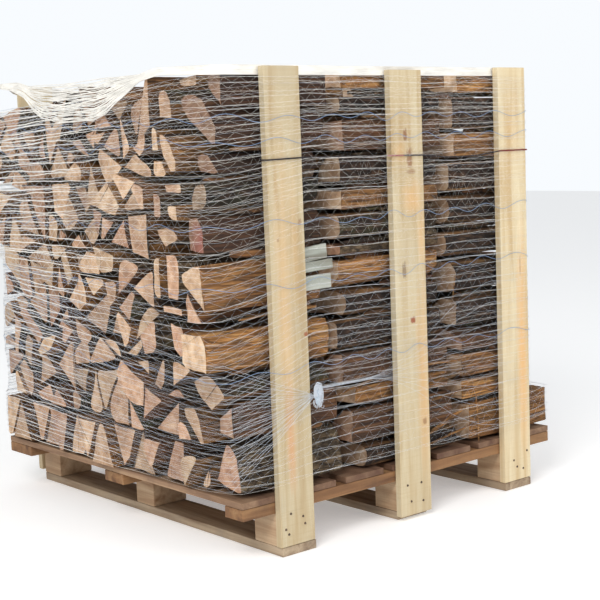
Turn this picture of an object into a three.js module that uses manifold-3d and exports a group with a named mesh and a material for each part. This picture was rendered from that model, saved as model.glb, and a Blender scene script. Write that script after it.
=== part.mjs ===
// A square pallet of split firewood: three rows of logs lie side by side on a wooden pallet, held
// between boards nailed up its front and back, tied with twine and wrapped in a knitted net.
// Millimetres. X runs along the front of the load, Y towards its back and Z up.
import * as THREE from "three";
import { mergeVertices } from "three/addons/utils/BufferGeometryUtils.js";
import Module from "manifold-3d";

const wasm = await Module();
wasm.setup();

// Pallet timber
const BED_HALF = 500;
const TOUCH_GAP = 0.3;
const BOARD_WIDTH = 96;
const SKID_THICKNESS = 20;
const BLOCK_HEIGHT = 72.7;
const STRINGER_THICKNESS = 25.2;
const DECK_THICKNESS = 14.6;
const DECK_BOARDS = 7;
const DECK_BOARD_WIDTH = 118;
const SKID_LEFT_EDGES = { left: -410, middle: -46, right: 312 };
const SKID_BACK = 484;
const BLOCK_SPANS = { front: [-499.7, -424], middle: [-34, 40], back: [404, 484] };
const STRINGER_SPANS = { front: [-500, -438], middle: [-44, 36], back: [392, 500] };

// Boards that stand up the front and back
const UPRIGHT_THICKNESS = 18;
const FRONT_UPRIGHTS = {
  left: { from: -412.4, width: 96, foot: 20.3, top: 1039 },
  middle: { from: -52, width: 100, foot: 10, top: 1033 },
  right: { from: 310, width: 98, foot: 20.3, top: 1041 },
};
const BACK_UPRIGHTS = {
  left: { from: -410, width: 98, foot: 24, top: 1052 },
  middle: { from: -48, width: 97, foot: 22, top: 1036 },
  right: { from: 308, width: 98, foot: 26, top: 1040 },
};

// The load of logs
const LOG_BED = 133.7;
const LOAD_HEIGHT = 902;
const LOAD_FRONT = -494.5;
const LOAD_BACK = 499;
const FRONT_STRIP_BACK = -292;
const FRONT_LOG_DEPTH = 96;
const JOINED_LOG_DEPTH = 158;
const FRONT_DEPTH_SCATTER = 26;
const COURSE_TILT = 0.09;
const COURSE_SLOPE = 0.5;
const LOG_GAP = 2.6;
const LOOSE_GAP = 7.5;
const CHIPPED_SHARE = 0.4;
const CHIP_DEPTH = [0.25, 0.45];
const SHORTEST_EDGE = 11;
const WELD_DISTANCE = 0.001;
const SMALLEST_LOG = 900;
const LOG_AREA = 7600;
const LOG_AREA_SPREAD = [0.55, 1.45];
const SPLIT_OFFSET = 0.16;
const SPLIT_TURN = 0.9;
const WEDGE_COURSE = 112;
const WEDGE_STEP = 66;
const WEDGE_SCATTER = 14;
const WEDGE_TURN = [0.28, 0.48];
const CUT_TILT = 0.05;
const END_SCATTER = 36;
const LENGTH_SCATTER = 14;
const LEAN = 65;
const LEAN_TURN = 0.86;
const STRIP_END_LEAN = 0.2;
const RIDGE_DEPTH = 30;
const CORE_INSET = 62;
const CORE_CROWN = 102;
const CORE_FRONT = -352;
const CORE_SHOWN_INSET = 34;
const CORE_OVERLAP = 12;

// The logs at the near left corner, laid one by one. Each has its end outline, counterclockwise
// from below as [y, z] corners, and those that lie right at the front have the X of their end.
const CORNER_FRONT_LOGS = [
  { from: -490, outline: [[-492, 138], [-392, 160], [-436, 262], [-474, 240]] },
  { from: -505, outline: [[-491, 264], [-436, 274], [-434, 313], [-491, 351]] },
  {
    from: -524,
    outline: [[-437, 322], [-400, 348], [-368, 384], [-416, 405], [-442, 405], [-474, 384], [-492, 359]],
  },
  { from: -568, outline: [[-488, 411], [-411, 417], [-397, 430], [-395, 497], [-476, 501], [-490, 475]] },
  {
    from: -568,
    outline: [[-490, 534], [-458, 559], [-414, 598], [-409, 619], [-450, 642], [-482, 645], [-488, 606]],
  },
  { from: -560, outline: [[-489, 656], [-432, 664], [-428, 700], [-434, 738], [-470, 742], [-490, 712]] },
  { from: -545, outline: [[-478, 748], [-430, 744], [-425, 775], [-440, 806], [-478, 812], [-491, 780]] },
  {
    from: -516,
    outline: [[-491, 824], [-470, 816], [-426, 821], [-411, 838], [-413, 864], [-437, 870], [-458, 865]],
  },
  {
    from: -516,
    outline: [
      [-481, 875], [-462, 877], [-392, 928], [-364, 958], [-362, 980],
      [-385, 991], [-411, 991], [-445, 981], [-479, 938], [-491, 915],
    ],
  },
  { from: -500, outline: [[-491, 948], [-438, 996], [-436, 1030], [-491, 1032]] },
];
const CORNER_INNER_LOGS = [
  [[-322, 136], [-297, 214], [-390, 238], [-393, 224]],
  [[-386, 138], [-336, 138], [-386, 206]],
  [[-412, 248], [-392, 243], [-337, 298], [-334, 327], [-380, 330], [-398, 302]],
  [[-362, 246], [-300, 240], [-296, 288], [-330, 292]],
  [[-385, 406], [-350, 383], [-300, 356], [-302, 430], [-388, 419]],
  [[-388, 340], [-303, 336], [-303, 350], [-352, 378]],
  [[-377, 434], [-349, 430], [-327, 449], [-308, 512], [-366, 503], [-375, 480]],
  [[-464, 512], [-402, 508], [-399, 560], [-412, 588]],
  [[-388, 552], [-341, 557], [-342, 660], [-383, 661], [-395, 640], [-394, 588]],
  [[-386, 520], [-308, 524], [-304, 550], [-345, 550], [-386, 545]],
  [[-332, 556], [-298, 558], [-298, 650], [-330, 655]],
  [[-399, 682], [-351, 666], [-333, 686], [-318, 712], [-362, 718], [-389, 710], [-407, 695]],
  [[-366, 729], [-342, 729], [-343, 770], [-363, 768]],
  [[-418, 722], [-376, 726], [-374, 770], [-416, 764]],
  [[-334, 728], [-298, 730], [-298, 790], [-332, 785]],
  [[-415, 776], [-350, 780], [-345, 808], [-412, 812]],
  [[-403, 824], [-374, 822], [-350, 860], [-338, 914], [-366, 910], [-386, 886], [-408, 852]],
  [[-452, 876], [-414, 874], [-393, 893], [-399, 913]],
  [[-352, 934], [-298, 938], [-298, 1000], [-330, 1008], [-352, 975]],
  [[-425, 1000], [-360, 1000], [-356, 1024], [-428, 1030]],
  [[-332, 868], [-298, 868], [-298, 928], [-325, 926]],
  [[-360, 816], [-300, 812], [-298, 858], [-340, 858]],
];
const ROWS = [
  {
    name: "left",
    seed: 4127,
    from: -503,
    length: 322,
    strip: [],
    joined: [],
    shownEnd: -1,
    ridge: [[-500, 1036], [-320, 1034], [-190, 1006], [70, 1000], [190, 1008], [500, 1026]],
  },
  {
    name: "middle",
    seed: 9203,
    from: -141,
    length: 322,
    strip: [62, 84, 54, 80, 72, 66, 68, 38, 66, 54, 78, 72, 58, 50],
    joined: [0, 5, 7, 9, 11],
    shownEnd: 0,
    ridge: [[-500, 1036], [0, 1000], [500, 1010]],
  },
  {
    name: "right",
    seed: 6151,
    from: 221,
    length: 300,
    strip: [104, 58, 66, 62, 78, 84, 76, 88, 72, 74, 80, 60],
    joined: [1, 3, 6, 9],
    shownEnd: 1,
    ridge: [[-500, 1036], [100, 1020], [500, 990]],
    stripEnd: 436,
  },
];

// Twine over the front uprights
const TWINE_RADIUS = 1.9;
const TWINE_CLEARANCE = 0.5;
const TWINE_HEIGHTS = { left: 846, middle: 841, right: 842 };
const TWINE_SAG = 9;
const TWINE_RISE = 2;
const TWINE_END = 60;

// The net round the load
const NET_FOOT = 141;
const NET_RIM = 1043;
const NET_RIM_LIFT = 16;
const NET_LIFT_SHARPNESS = 12;
const NET_OFFSET = 5.2;
const NET_THICKNESS = 1.4;
const NET_STRAND = 4;
const NET_HEM = 14;
const NET_SIDES = 16;
const NET_LEVELS = 9;
const NET_RISER_STEP = 4;
const NET_KNOT = { centre: [-303, -525, 338], half: [20, 13, 36] };
const KNOT_BACKING = [156, 60, 900];

const COLOURS = {
  skid: 0x9c8f78,
  block: 0xb9a27c,
  stringer: 0xb98a58,
  deck: 0xa98f6c,
  upright: 0xe3cfa0,
  bark: 0x6d5a48,
  split: 0xc39a67,
  ends: 0xbfa07c,
  twine: 0x3a2423,
  net: 0xe8eef2,
};

function finish(colour, roughness) {
  return new THREE.MeshStandardMaterial({ color: colour, roughness, metalness: 0 });
}

function piece(name, geometry, material) {
  const mesh = new THREE.Mesh(geometry, material);
  mesh.name = name;
  return mesh;
}

// A sawn board or block between two opposite corners.
function timber(name, low, high, material) {
  const size = high.map((value, axis) => value - low[axis]);
  const mesh = piece(name, new THREE.BoxGeometry(...size), material);
  mesh.position.set(...low.map((value, axis) => value + size[axis] / 2));
  return mesh;
}

function palletBase() {
  const base = new THREE.Group();
  const blockFoot = SKID_THICKNESS + TOUCH_GAP;
  const stringerFoot = blockFoot + BLOCK_HEIGHT + TOUCH_GAP;
  const deckFoot = stringerFoot + STRINGER_THICKNESS + TOUCH_GAP;
  const skidWood = finish(COLOURS.skid, 0.9);
  const blockWood = finish(COLOURS.block, 0.85);
  const stringerWood = finish(COLOURS.stringer, 0.8);
  const deckWood = finish(COLOURS.deck, 0.85);
  for (const [side, edge] of Object.entries(SKID_LEFT_EDGES)) {
    const front = side === "middle" ? -BED_HALF + TOUCH_GAP : -BED_HALF - UPRIGHT_THICKNESS;
    const skidLow = [edge, front, 0];
    const skidHigh = [edge + BOARD_WIDTH, SKID_BACK, SKID_THICKNESS];
    base.add(timber(`skid_${side}`, skidLow, skidHigh, skidWood));
    for (const [place, [near, far]] of Object.entries(BLOCK_SPANS)) {
      const low = [edge, near, blockFoot];
      const high = [edge + BOARD_WIDTH, far, blockFoot + BLOCK_HEIGHT];
      base.add(timber(`block_${side}_${place}`, low, high, blockWood));
    }
  }
  for (const [place, [near, far]] of Object.entries(STRINGER_SPANS)) {
    const low = [-BED_HALF, near, stringerFoot];
    const high = [BED_HALF, far, stringerFoot + STRINGER_THICKNESS];
    base.add(timber(`stringer_${place}`, low, high, stringerWood));
  }
  const step = (2 * BED_HALF - DECK_BOARD_WIDTH) / (DECK_BOARDS - 1);
  for (let index = 0; index < DECK_BOARDS; index += 1) {
    const edge = -BED_HALF + index * step;
    const low = [edge, -BED_HALF, deckFoot];
    const high = [edge + DECK_BOARD_WIDTH, BED_HALF, deckFoot + DECK_THICKNESS];
    base.add(timber(`deck_board_${index + 1}`, low, high, deckWood));
  }
  return base;
}

function uprights() {
  const boards = new THREE.Group();
  const wood = finish(COLOURS.upright, 0.7);
  const front = -BED_HALF - UPRIGHT_THICKNESS;
  const back = BED_HALF + TOUCH_GAP;
  for (const [side, board] of Object.entries(FRONT_UPRIGHTS)) {
    const low = [board.from, front, board.foot];
    const high = [board.from + board.width, -BED_HALF - TOUCH_GAP, board.top];
    boards.add(timber(`upright_front_${side}`, low, high, wood));
  }
  for (const [side, board] of Object.entries(BACK_UPRIGHTS)) {
    const low = [board.from, back, board.foot];
    const high = [board.from + board.width, back + UPRIGHT_THICKNESS, board.top];
    boards.add(timber(`upright_back_${side}`, low, high, wood));
  }
  return boards;
}

// Repeatable random numbers from 0 to 1, the same each time for one seed.
function randomFrom(seed) {
  let state = seed;
  return () => {
    state = (state * 16807) % 2147483647;
    return state / 2147483647;
  };
}

function between([low, high], random) {
  return low + (high - low) * random();
}

function spread(width, random) {
  return width * (random() - 0.5);
}

// Log sections are convex outlines of [y, z] corners. A cut along a line through a point gives
// the half to the left of the line's direction, then the half to its right.
function cut(outline, point, angle) {
  const across = [-Math.sin(angle), Math.cos(angle)];
  const left = [];
  const right = [];
  const side = (corner) => (corner[0] - point[0]) * across[0] + (corner[1] - point[1]) * across[1];
  outline.forEach((corner, index) => {
    const next = outline[(index + 1) % outline.length];
    const here = side(corner);
    const there = side(next);
    if (here >= 0) left.push(corner);
    if (here <= 0) right.push(corner);
    if (here * there < 0) {
      const part = here / (here - there);
      const crossing = corner.map((value, axis) => value + part * (next[axis] - value));
      left.push(crossing);
      right.push(crossing);
    }
  });
  return [left, right];
}

function area(outline) {
  const twice = outline.map((corner, index) => {
    const next = outline[(index + 1) % outline.length];
    return corner[0] * next[1] - next[0] * corner[1];
  });
  return twice.reduce((sum, value) => sum + value, 0) / 2;
}

function middle(outline) {
  const sum = outline.reduce((total, corner) => [total[0] + corner[0], total[1] + corner[1]], [0, 0]);
  return [sum[0] / outline.length, sum[1] / outline.length];
}

// Moves every side inwards by the gap, then drops the corners of very short sides.
function shrink(outline, gap) {
  let inner = outline;
  outline.forEach((corner, index) => {
    const next = outline[(index + 1) % outline.length];
    const angle = Math.atan2(next[1] - corner[1], next[0] - corner[0]);
    const moved = [corner[0] - gap * Math.sin(angle), corner[1] + gap * Math.cos(angle)];
    inner = cut(inner, moved, angle)[0];
  });
  return inner.filter((corner, index) => {
    const next = inner[(index + 1) % inner.length];
    return Math.hypot(next[0] - corner[0], next[1] - corner[1]) > SHORTEST_EDGE;
  });
}

// Takes one corner off an outline, as where a log was round or has lost a sliver.
function chip(outline, random) {
  const index = Math.floor(random() * outline.length);
  const corner = outline[index];
  const ahead = outline[(index + 1) % outline.length];
  const back = outline[(index + outline.length - 1) % outline.length];
  const share = between(CHIP_DEPTH, random);
  const start = back.map((value, axis) => value + (1 - share) * (corner[axis] - value));
  const end = ahead.map((value, axis) => value + (1 - share) * (corner[axis] - value));
  return cut(outline, start, Math.atan2(end[1] - start[1], end[0] - start[0]))[0];
}

// Splits an outline across its longest diagonal, again and again, down to the size of a log.
function splitLogs(outline, random, logs) {
  if (area(outline) < LOG_AREA * between(LOG_AREA_SPREAD, random)) {
    logs.push(outline);
    return;
  }
  let longest = [0, 0];
  outline.forEach((corner) => {
    outline.forEach((other) => {
      const span = [other[0] - corner[0], other[1] - corner[1]];
      if (Math.hypot(...span) > Math.hypot(...longest)) longest = span;
    });
  });
  const centre = middle(outline);
  const reach = Math.hypot(...longest) * SPLIT_OFFSET;
  const point = [centre[0] + spread(reach, random), centre[1] + spread(reach, random)];
  const angle = Math.atan2(longest[1], longest[0]) + Math.PI / 2 + spread(SPLIT_TURN, random);
  for (const half of cut(outline, point, angle)) splitLogs(half, random, logs);
}

// The outlines of one row's logs: a front strip two logs deep, laid one by one at the near corner
// and in courses elsewhere, a bottom course of wedges that point up and down in turn, and split
// logs packed over it.
function rowOutlines(row, random) {
  const top = LOG_BED + LOAD_HEIGHT;
  const centreHeight = LOG_BED + LOAD_HEIGHT / 2;
  const whole = [[LOAD_FRONT, LOG_BED], [LOAD_BACK, LOG_BED], [LOAD_BACK, top], [LOAD_FRONT, top]];
  const upright = Math.PI / 2;
  const leanBack = upright + spread(CUT_TILT, random);
  const [strip, rest] = cut(whole, [FRONT_STRIP_BACK, centreHeight], leanBack);
  const front = row.strip.length ? [] : CORNER_FRONT_LOGS.map((log) => log.outline);
  const behind = row.strip.length ? [] : [...CORNER_INNER_LOGS];
  let remaining = strip;
  let height = LOG_BED;
  row.strip.forEach((course, index) => {
    height += course;
    const last = index === row.strip.length - 1;
    const tilt = spread(COURSE_TILT, random);
    const middleFront = [LOAD_FRONT + FRONT_LOG_DEPTH, height];
    const [above, layer] = last ? [[], remaining] : cut(remaining, middleFront, tilt);
    remaining = above;
    const reach = row.joined.includes(index) ? JOINED_LOG_DEPTH : FRONT_LOG_DEPTH;
    const depth = LOAD_FRONT + reach + spread(FRONT_DEPTH_SCATTER, random);
    const slope = upright + spread(COURSE_SLOPE, random);
    const [near, far] = cut(layer, [depth, height - course / 2], slope);
    front.push(near);
    behind.push(far);
  });
  const [upper, bottom] = cut(rest, [0, LOG_BED + WEDGE_COURSE], spread(CUT_TILT, random));
  let wedges = bottom;
  let turn = 1;
  for (let y = FRONT_STRIP_BACK + WEDGE_STEP; y < LOAD_BACK - WEDGE_STEP / 2; y += WEDGE_STEP) {
    const place = [y + spread(WEDGE_SCATTER, random), LOG_BED + WEDGE_COURSE / 2];
    const [near, far] = cut(wedges, place, upright + turn * between(WEDGE_TURN, random));
    behind.push(near);
    wedges = far;
    turn = -turn;
  }
  behind.push(wedges);
  splitLogs(upper, random, behind);
  return { front, behind };
}

function heightAt(line, y) {
  const index = line.findIndex((point) => point[0] >= y);
  if (index <= 0) return line[Math.max(index, 0)][1];
  const [before, after] = [line[index - 1], line[index]];
  return before[1] + ((y - before[0]) / (after[0] - before[0])) * (after[1] - before[1]);
}

// The load leans out to the left, most of all at half height and at its front.
function leanAt([y, z]) {
  const rise = Math.min(1, Math.max(0, (z - LOG_BED) / LOAD_HEIGHT));
  return -LEAN * Math.sin(Math.PI * LEAN_TURN * rise) * (0.5 - y / (2 * BED_HALF));
}

// Every log of one row, with the X of its two ends.
function rowLogs(row) {
  const random = randomFrom(row.seed);
  const { front, behind } = rowOutlines(row, random);
  const logs = [];
  [...front, ...behind].forEach((raw, index) => {
    const inFront = index < front.length;
    const laid = row.strip.length === 0 && index < front.length + CORNER_INNER_LOGS.length;
    const looseness = laid ? 0 : random();
    const chipped = !laid && random() < CHIPPED_SHARE ? chip(raw, random) : raw;
    const outline = shrink(chipped, LOG_GAP + LOOSE_GAP * looseness * looseness);
    const startScatter = spread(END_SCATTER, random);
    const endScatter = spread(LENGTH_SCATTER, random);
    if (outline.length < 3 || area(outline) < SMALLEST_LOG) return;
    const centre = middle(outline);
    if (!laid && !inFront && centre[1] > heightAt(row.ridge, centre[0]) - RIDGE_DEPTH) return;
    const lean = leanAt(centre);
    const from = laid && inFront ? CORNER_FRONT_LOGS[index].from : row.from + startScatter + lean;
    const shortEnd = inFront && index > 0 && row.stripEnd ? row.stripEnd + lean * STRIP_END_LEAN : Infinity;
    const to = Math.min(row.from + row.length + endScatter + lean, shortEnd);
    logs.push({ outline, centre, from, to, course: inFront ? index : -1 });
  });
  return logs;
}

function logGeometry(outline, from, to) {
  const shape = new THREE.Shape(outline.map(([y, z]) => new THREE.Vector2(y, z)));
  const geometry = new THREE.ExtrudeGeometry(shape, { depth: to - from, bevelEnabled: false });
  const axes = [new THREE.Vector3(0, 1, 0), new THREE.Vector3(0, 0, 1), new THREE.Vector3(1, 0, 0)];
  geometry.applyMatrix4(new THREE.Matrix4().makeBasis(...axes));
  geometry.translate(from, 0, 0);
  return geometry;
}

function solidOf(geometry) {
  const bare = geometry.clone();
  bare.deleteAttribute("normal");
  bare.deleteAttribute("uv");
  const merged = mergeVertices(bare, WELD_DISTANCE);
  const vertProperties = new Float32Array(merged.attributes.position.array);
  const triVerts = new Uint32Array(merged.index.array);
  return new wasm.Manifold(new wasm.Mesh({ numProp: 3, vertProperties, triVerts }));
}

function geometryOf(solid) {
  const mesh = solid.getMesh();
  const geometry = new THREE.BufferGeometry();
  geometry.setAttribute("position", new THREE.BufferAttribute(mesh.vertProperties, 3));
  geometry.setIndex(new THREE.BufferAttribute(mesh.triVerts, 1));
  geometry.computeVertexNormals();
  return geometry;
}

// The logs of a row that have no solid of their own, as one solid: a core, with every log that
// shows on the top or back at full length and every log that shows on an end face out to its tip.
function joinedRow(row, logs) {
  const coreBack = LOAD_BACK - CORE_INSET;
  const crest = row.ridge.filter(([y]) => y > CORE_FRONT && y < coreBack).reverse();
  const backTop = [coreBack, heightAt(row.ridge, coreBack)];
  const frontTop = [CORE_FRONT, heightAt(row.ridge, CORE_FRONT)];
  const crown = [backTop, ...crest, frontTop].map(([y, z]) => [y, z - CORE_CROWN]);
  const coreOutline = [[CORE_FRONT, LOG_BED], [coreBack, LOG_BED], ...crown];
  const coreFrom = row.from + (row.shownEnd < 0 ? CORE_SHOWN_INSET : 0);
  const coreTo = row.from + row.length - LEAN - (row.shownEnd > 0 ? CORE_SHOWN_INSET : 0);
  let solid = solidOf(logGeometry(coreOutline, coreFrom, coreTo));
  for (const log of logs) {
    if (log.course >= 0 && !row.joined.includes(log.course)) continue;
    const farthest = Math.max(...log.outline.map((corner) => corner[0]));
    const highest = Math.max(...log.outline.map((corner) => corner[1]));
    const crownHere = heightAt(row.ridge, log.centre[0]) - CORE_CROWN;
    if (farthest > coreBack || highest > crownHere || log.course >= 0) {
      solid = solid.add(solidOf(logGeometry(log.outline, log.from, log.to)));
    } else if (row.shownEnd < 0) {
      solid = solid.add(solidOf(logGeometry(log.outline, log.from, coreFrom + CORE_OVERLAP)));
    } else if (row.shownEnd > 0) {
      solid = solid.add(solidOf(logGeometry(log.outline, coreTo - CORE_OVERLAP, log.to)));
    }
  }
  const bodies = solid.decompose();
  bodies.sort((one, other) => other.volume() - one.volume());
  return bodies[0];
}

function load(allLogs) {
  const group = new THREE.Group();
  const bark = finish(COLOURS.bark, 0.95);
  const split = finish(COLOURS.split, 0.8);
  const mixed = finish(COLOURS.ends, 0.85);
  ROWS.forEach((row, rowIndex) => {
    const logs = allLogs[rowIndex];
    let number = 0;
    for (const log of logs) {
      if (log.course < 0 || row.joined.includes(log.course)) continue;
      number += 1;
      const label = String(number).padStart(2, "0");
      const name = `log_${row.name}_front_${label}`;
      group.add(piece(name, logGeometry(log.outline, log.from, log.to), number % 2 ? bark : split));
    }
    group.add(piece(`log_row_${row.name}`, geometryOf(joinedRow(row, logs)), mixed));
  });
  return group;
}

// A line through given points, which a tube follows with one ring at each of them.
class PointRoute extends THREE.Curve {
  constructor(points) {
    super();
    this.points = points;
  }

  getPoint(t) {
    const place = Math.min(Math.max(t, 0), 1) * (this.points.length - 1);
    const index = Math.min(Math.floor(place), this.points.length - 2);
    return this.points[index].clone().lerp(this.points[index + 1], place - index);
  }

  getPointAt(u) {
    return this.getPoint(u);
  }

  getUtoTmapping(u) {
    return u;
  }
}

// A quarter turn round a board's edge, seen from above.
function edgeTurn(x, y, z, startAngle) {
  const reach = TWINE_RADIUS + TWINE_CLEARANCE;
  return [0, 1, 2, 3].map((step) => {
    const angle = startAngle + (step * Math.PI) / 6;
    return new THREE.Vector3(x + reach * Math.cos(angle), y + reach * Math.sin(angle), z);
  });
}

// Twine that starts behind the left upright, runs over all three and ends behind the right one.
function twine() {
  const { left, middle: centre, right } = FRONT_UPRIGHTS;
  const reach = TWINE_RADIUS + TWINE_CLEARANCE;
  const front = -BED_HALF - UPRIGHT_THICKNESS;
  const inner = -BED_HALF - TOUCH_GAP;
  const rightEdge = right.from + right.width;
  const over = (x, z) => new THREE.Vector3(x, front - reach, z);
  const spanStart = centre.from + centre.width;
  const span = right.from - spanStart;
  const drop = [0.25, 0.5, 0.75].map((part) => {
    const level = THREE.MathUtils.lerp(TWINE_HEIGHTS.middle, TWINE_HEIGHTS.right, part);
    return over(spanStart + span * part, level - TWINE_SAG * 4 * part * (1 - part));
  });
  const points = [
    new THREE.Vector3(left.from + TWINE_END, inner + reach, TWINE_HEIGHTS.left),
    ...edgeTurn(left.from, inner, TWINE_HEIGHTS.left, Math.PI / 2),
    ...edgeTurn(left.from, front, TWINE_HEIGHTS.left, Math.PI),
    over(left.from + left.width, TWINE_HEIGHTS.left + TWINE_RISE),
    over(centre.from, TWINE_HEIGHTS.middle + TWINE_RISE),
    over(spanStart, TWINE_HEIGHTS.middle),
    ...drop,
    over(right.from, TWINE_HEIGHTS.right),
    ...edgeTurn(rightEdge, front, TWINE_HEIGHTS.right, -Math.PI / 2),
    ...edgeTurn(rightEdge, inner, TWINE_HEIGHTS.right, 0),
    new THREE.Vector3(rightEdge - TWINE_END, inner + reach, TWINE_HEIGHTS.right),
  ];
  const section = new THREE.Shape();
  section.absarc(0, 0, TWINE_RADIUS, 0, 2 * Math.PI);
  const settings = { extrudePath: new PointRoute(points), steps: points.length - 1, curveSegments: 4 };
  const geometry = new THREE.ExtrudeGeometry(section, { ...settings, bevelEnabled: false });
  return piece("twine", geometry, finish(COLOURS.twine, 0.9));
}

// How far the load and its uprights reach in one direction, within a band of height.
function reachOf(points, angle, low, high) {
  const along = [Math.cos(angle), Math.sin(angle)];
  const inBand = points.filter(([, , bottom, top]) => top >= low && bottom <= high);
  return Math.max(...inBand.map(([x, y]) => x * along[0] + y * along[1]));
}

// The points that the net is stretched over, each with the height span that it stands for.
function netSupports(allLogs) {
  const points = [];
  for (const log of allLogs.flat()) {
    const heights = log.outline.map((corner) => corner[1]);
    const span = [Math.min(...heights), Math.max(...heights)];
    for (const [y] of log.outline) points.push([log.from, y, ...span], [log.to, y, ...span]);
  }
  for (const board of Object.values(FRONT_UPRIGHTS)) {
    const y = -BED_HALF - UPRIGHT_THICKNESS;
    points.push([board.from, y, board.foot, board.top], [board.from + board.width, y, board.foot, board.top]);
  }
  for (const board of Object.values(BACK_UPRIGHTS)) {
    const y = BED_HALF + TOUCH_GAP + UPRIGHT_THICKNESS;
    points.push([board.from, y, board.foot, board.top], [board.from + board.width, y, board.foot, board.top]);
  }
  return points;
}

// One level ring of the net, as the corners where its tight straight runs meet.
function netRing(supports, level, offset) {
  const step = (2 * Math.PI) / NET_SIDES;
  const band = (NET_RIM - NET_FOOT) / (NET_LEVELS - 1);
  const height = NET_FOOT + level * band;
  const reaches = Array.from({ length: NET_SIDES }, (_, index) => {
    return reachOf(supports, index * step, height - band, height + band) + offset;
  });
  return reaches.map((reach, index) => {
    const next = reaches[(index + 1) % NET_SIDES];
    const angle = index * step;
    const slide = (next - reach * Math.cos(step)) / Math.sin(step);
    const x = reach * Math.cos(angle) - slide * Math.sin(angle);
    const y = reach * Math.sin(angle) + slide * Math.cos(angle);
    const atLeftBack = Math.max(0, Math.cos(angle + step / 2 - (3 * Math.PI) / 4));
    const lift = level === NET_LEVELS - 1 ? NET_RIM_LIFT * atLeftBack ** NET_LIFT_SHARPNESS : 0;
    return [x, y, height + lift];
  });
}

// A closed band of strand through rings of corners, each ring with the same count. The rings
// follow one another round the strand's section, so the first also follows the last.
function strandGeometry(rings, closed) {
  const count = rings[0].length;
  const runs = closed ? count : count - 1;
  const index = [];
  rings.forEach((_, ringIndex) => {
    const following = (ringIndex + 1) % rings.length;
    for (let place = 0; place < runs; place += 1) {
      const next = (place + 1) % count;
      const a = ringIndex * count + place;
      const b = ringIndex * count + next;
      const c = following * count + next;
      const d = following * count + place;
      index.push(a, b, c, a, c, d);
    }
  });
  if (!closed) {
    const [p, q, r, s] = rings.map((_, ringIndex) => ringIndex * count);
    const last = count - 1;
    index.push(p, q, r, p, r, s, p + last, r + last, q + last, p + last, s + last, r + last);
  }
  const geometry = new THREE.BufferGeometry();
  geometry.setAttribute("position", new THREE.Float32BufferAttribute(rings.flat(2), 3));
  geometry.setIndex(index);
  return geometry;
}

function raised(ring, height) {
  return ring.map(([x, y, z]) => [x, y, z + height]);
}

// A level strand that goes all the way round the load.
function hoop(supports, level) {
  const outer = netRing(supports, level, NET_OFFSET + NET_THICKNESS);
  const inner = netRing(supports, level, NET_OFFSET);
  const half = (level === NET_LEVELS - 1 ? NET_HEM : NET_STRAND) / 2;
  const rings = [raised(outer, -half), raised(outer, half), raised(inner, half), raised(inner, -half)];
  return strandGeometry(rings, true);
}

// A strand that runs up one corner of the rings and links all the hoops.
function riser(supports, side) {
  const levels = Array.from({ length: NET_LEVELS }, (_, level) => level);
  const outer = levels.map((level) => netRing(supports, level, NET_OFFSET + NET_THICKNESS)[side]);
  const inner = levels.map((level) => netRing(supports, level, NET_OFFSET)[side]);
  const angle = ((side + 0.5) * 2 * Math.PI) / NET_SIDES;
  const across = [-Math.sin(angle) * (NET_STRAND / 2), Math.cos(angle) * (NET_STRAND / 2)];
  const beside = (line, sign) => line.map(([x, y, z]) => [x + sign * across[0], y + sign * across[1], z]);
  return strandGeometry([beside(outer, -1), beside(inner, -1), beside(inner, 1), beside(outer, 1)], false);
}

// The net as its main strands, with the knot where its end is gathered and tied.
function net(allLogs) {
  const supports = netSupports(allLogs);
  let solid = solidOf(hoop(supports, 0));
  for (let level = 1; level < NET_LEVELS; level += 1) solid = solid.add(solidOf(hoop(supports, level)));
  for (let side = 0; side < NET_SIDES; side += NET_RISER_STEP) {
    solid = solid.add(solidOf(riser(supports, side)));
  }
  const knot = new THREE.IcosahedronGeometry(1, 1);
  knot.scale(...NET_KNOT.half);
  knot.translate(...NET_KNOT.centre);
  const [roomWidth, roomDepth, roomHeight] = KNOT_BACKING;
  const room = new THREE.BoxGeometry(roomWidth, roomDepth, roomHeight);
  const roomFront = -BED_HALF - UPRIGHT_THICKNESS - TOUCH_GAP;
  room.translate(FRONT_UPRIGHTS.left.from + roomWidth / 2, roomFront + roomDepth / 2, roomHeight / 2);
  const gathered = solidOf(knot).subtract(solidOf(room));
  return piece("net", geometryOf(solid.add(gathered)), finish(COLOURS.net, 0.6));
}

const pallet = new THREE.Group();
const allLogs = ROWS.map(rowLogs);
pallet.add(palletBase(), uprights(), load(allLogs), twine(), net(allLogs));

// The origin is on the floor below the middle of the whole pallet.
const extent = new THREE.Box3().setFromObject(pallet);
pallet.position.set(-(extent.min.x + extent.max.x) / 2, -(extent.min.y + extent.max.y) / 2, 0);

export default pallet;
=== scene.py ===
import math

import bmesh
import bpy
from mathutils import Matrix, Vector, noise


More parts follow.
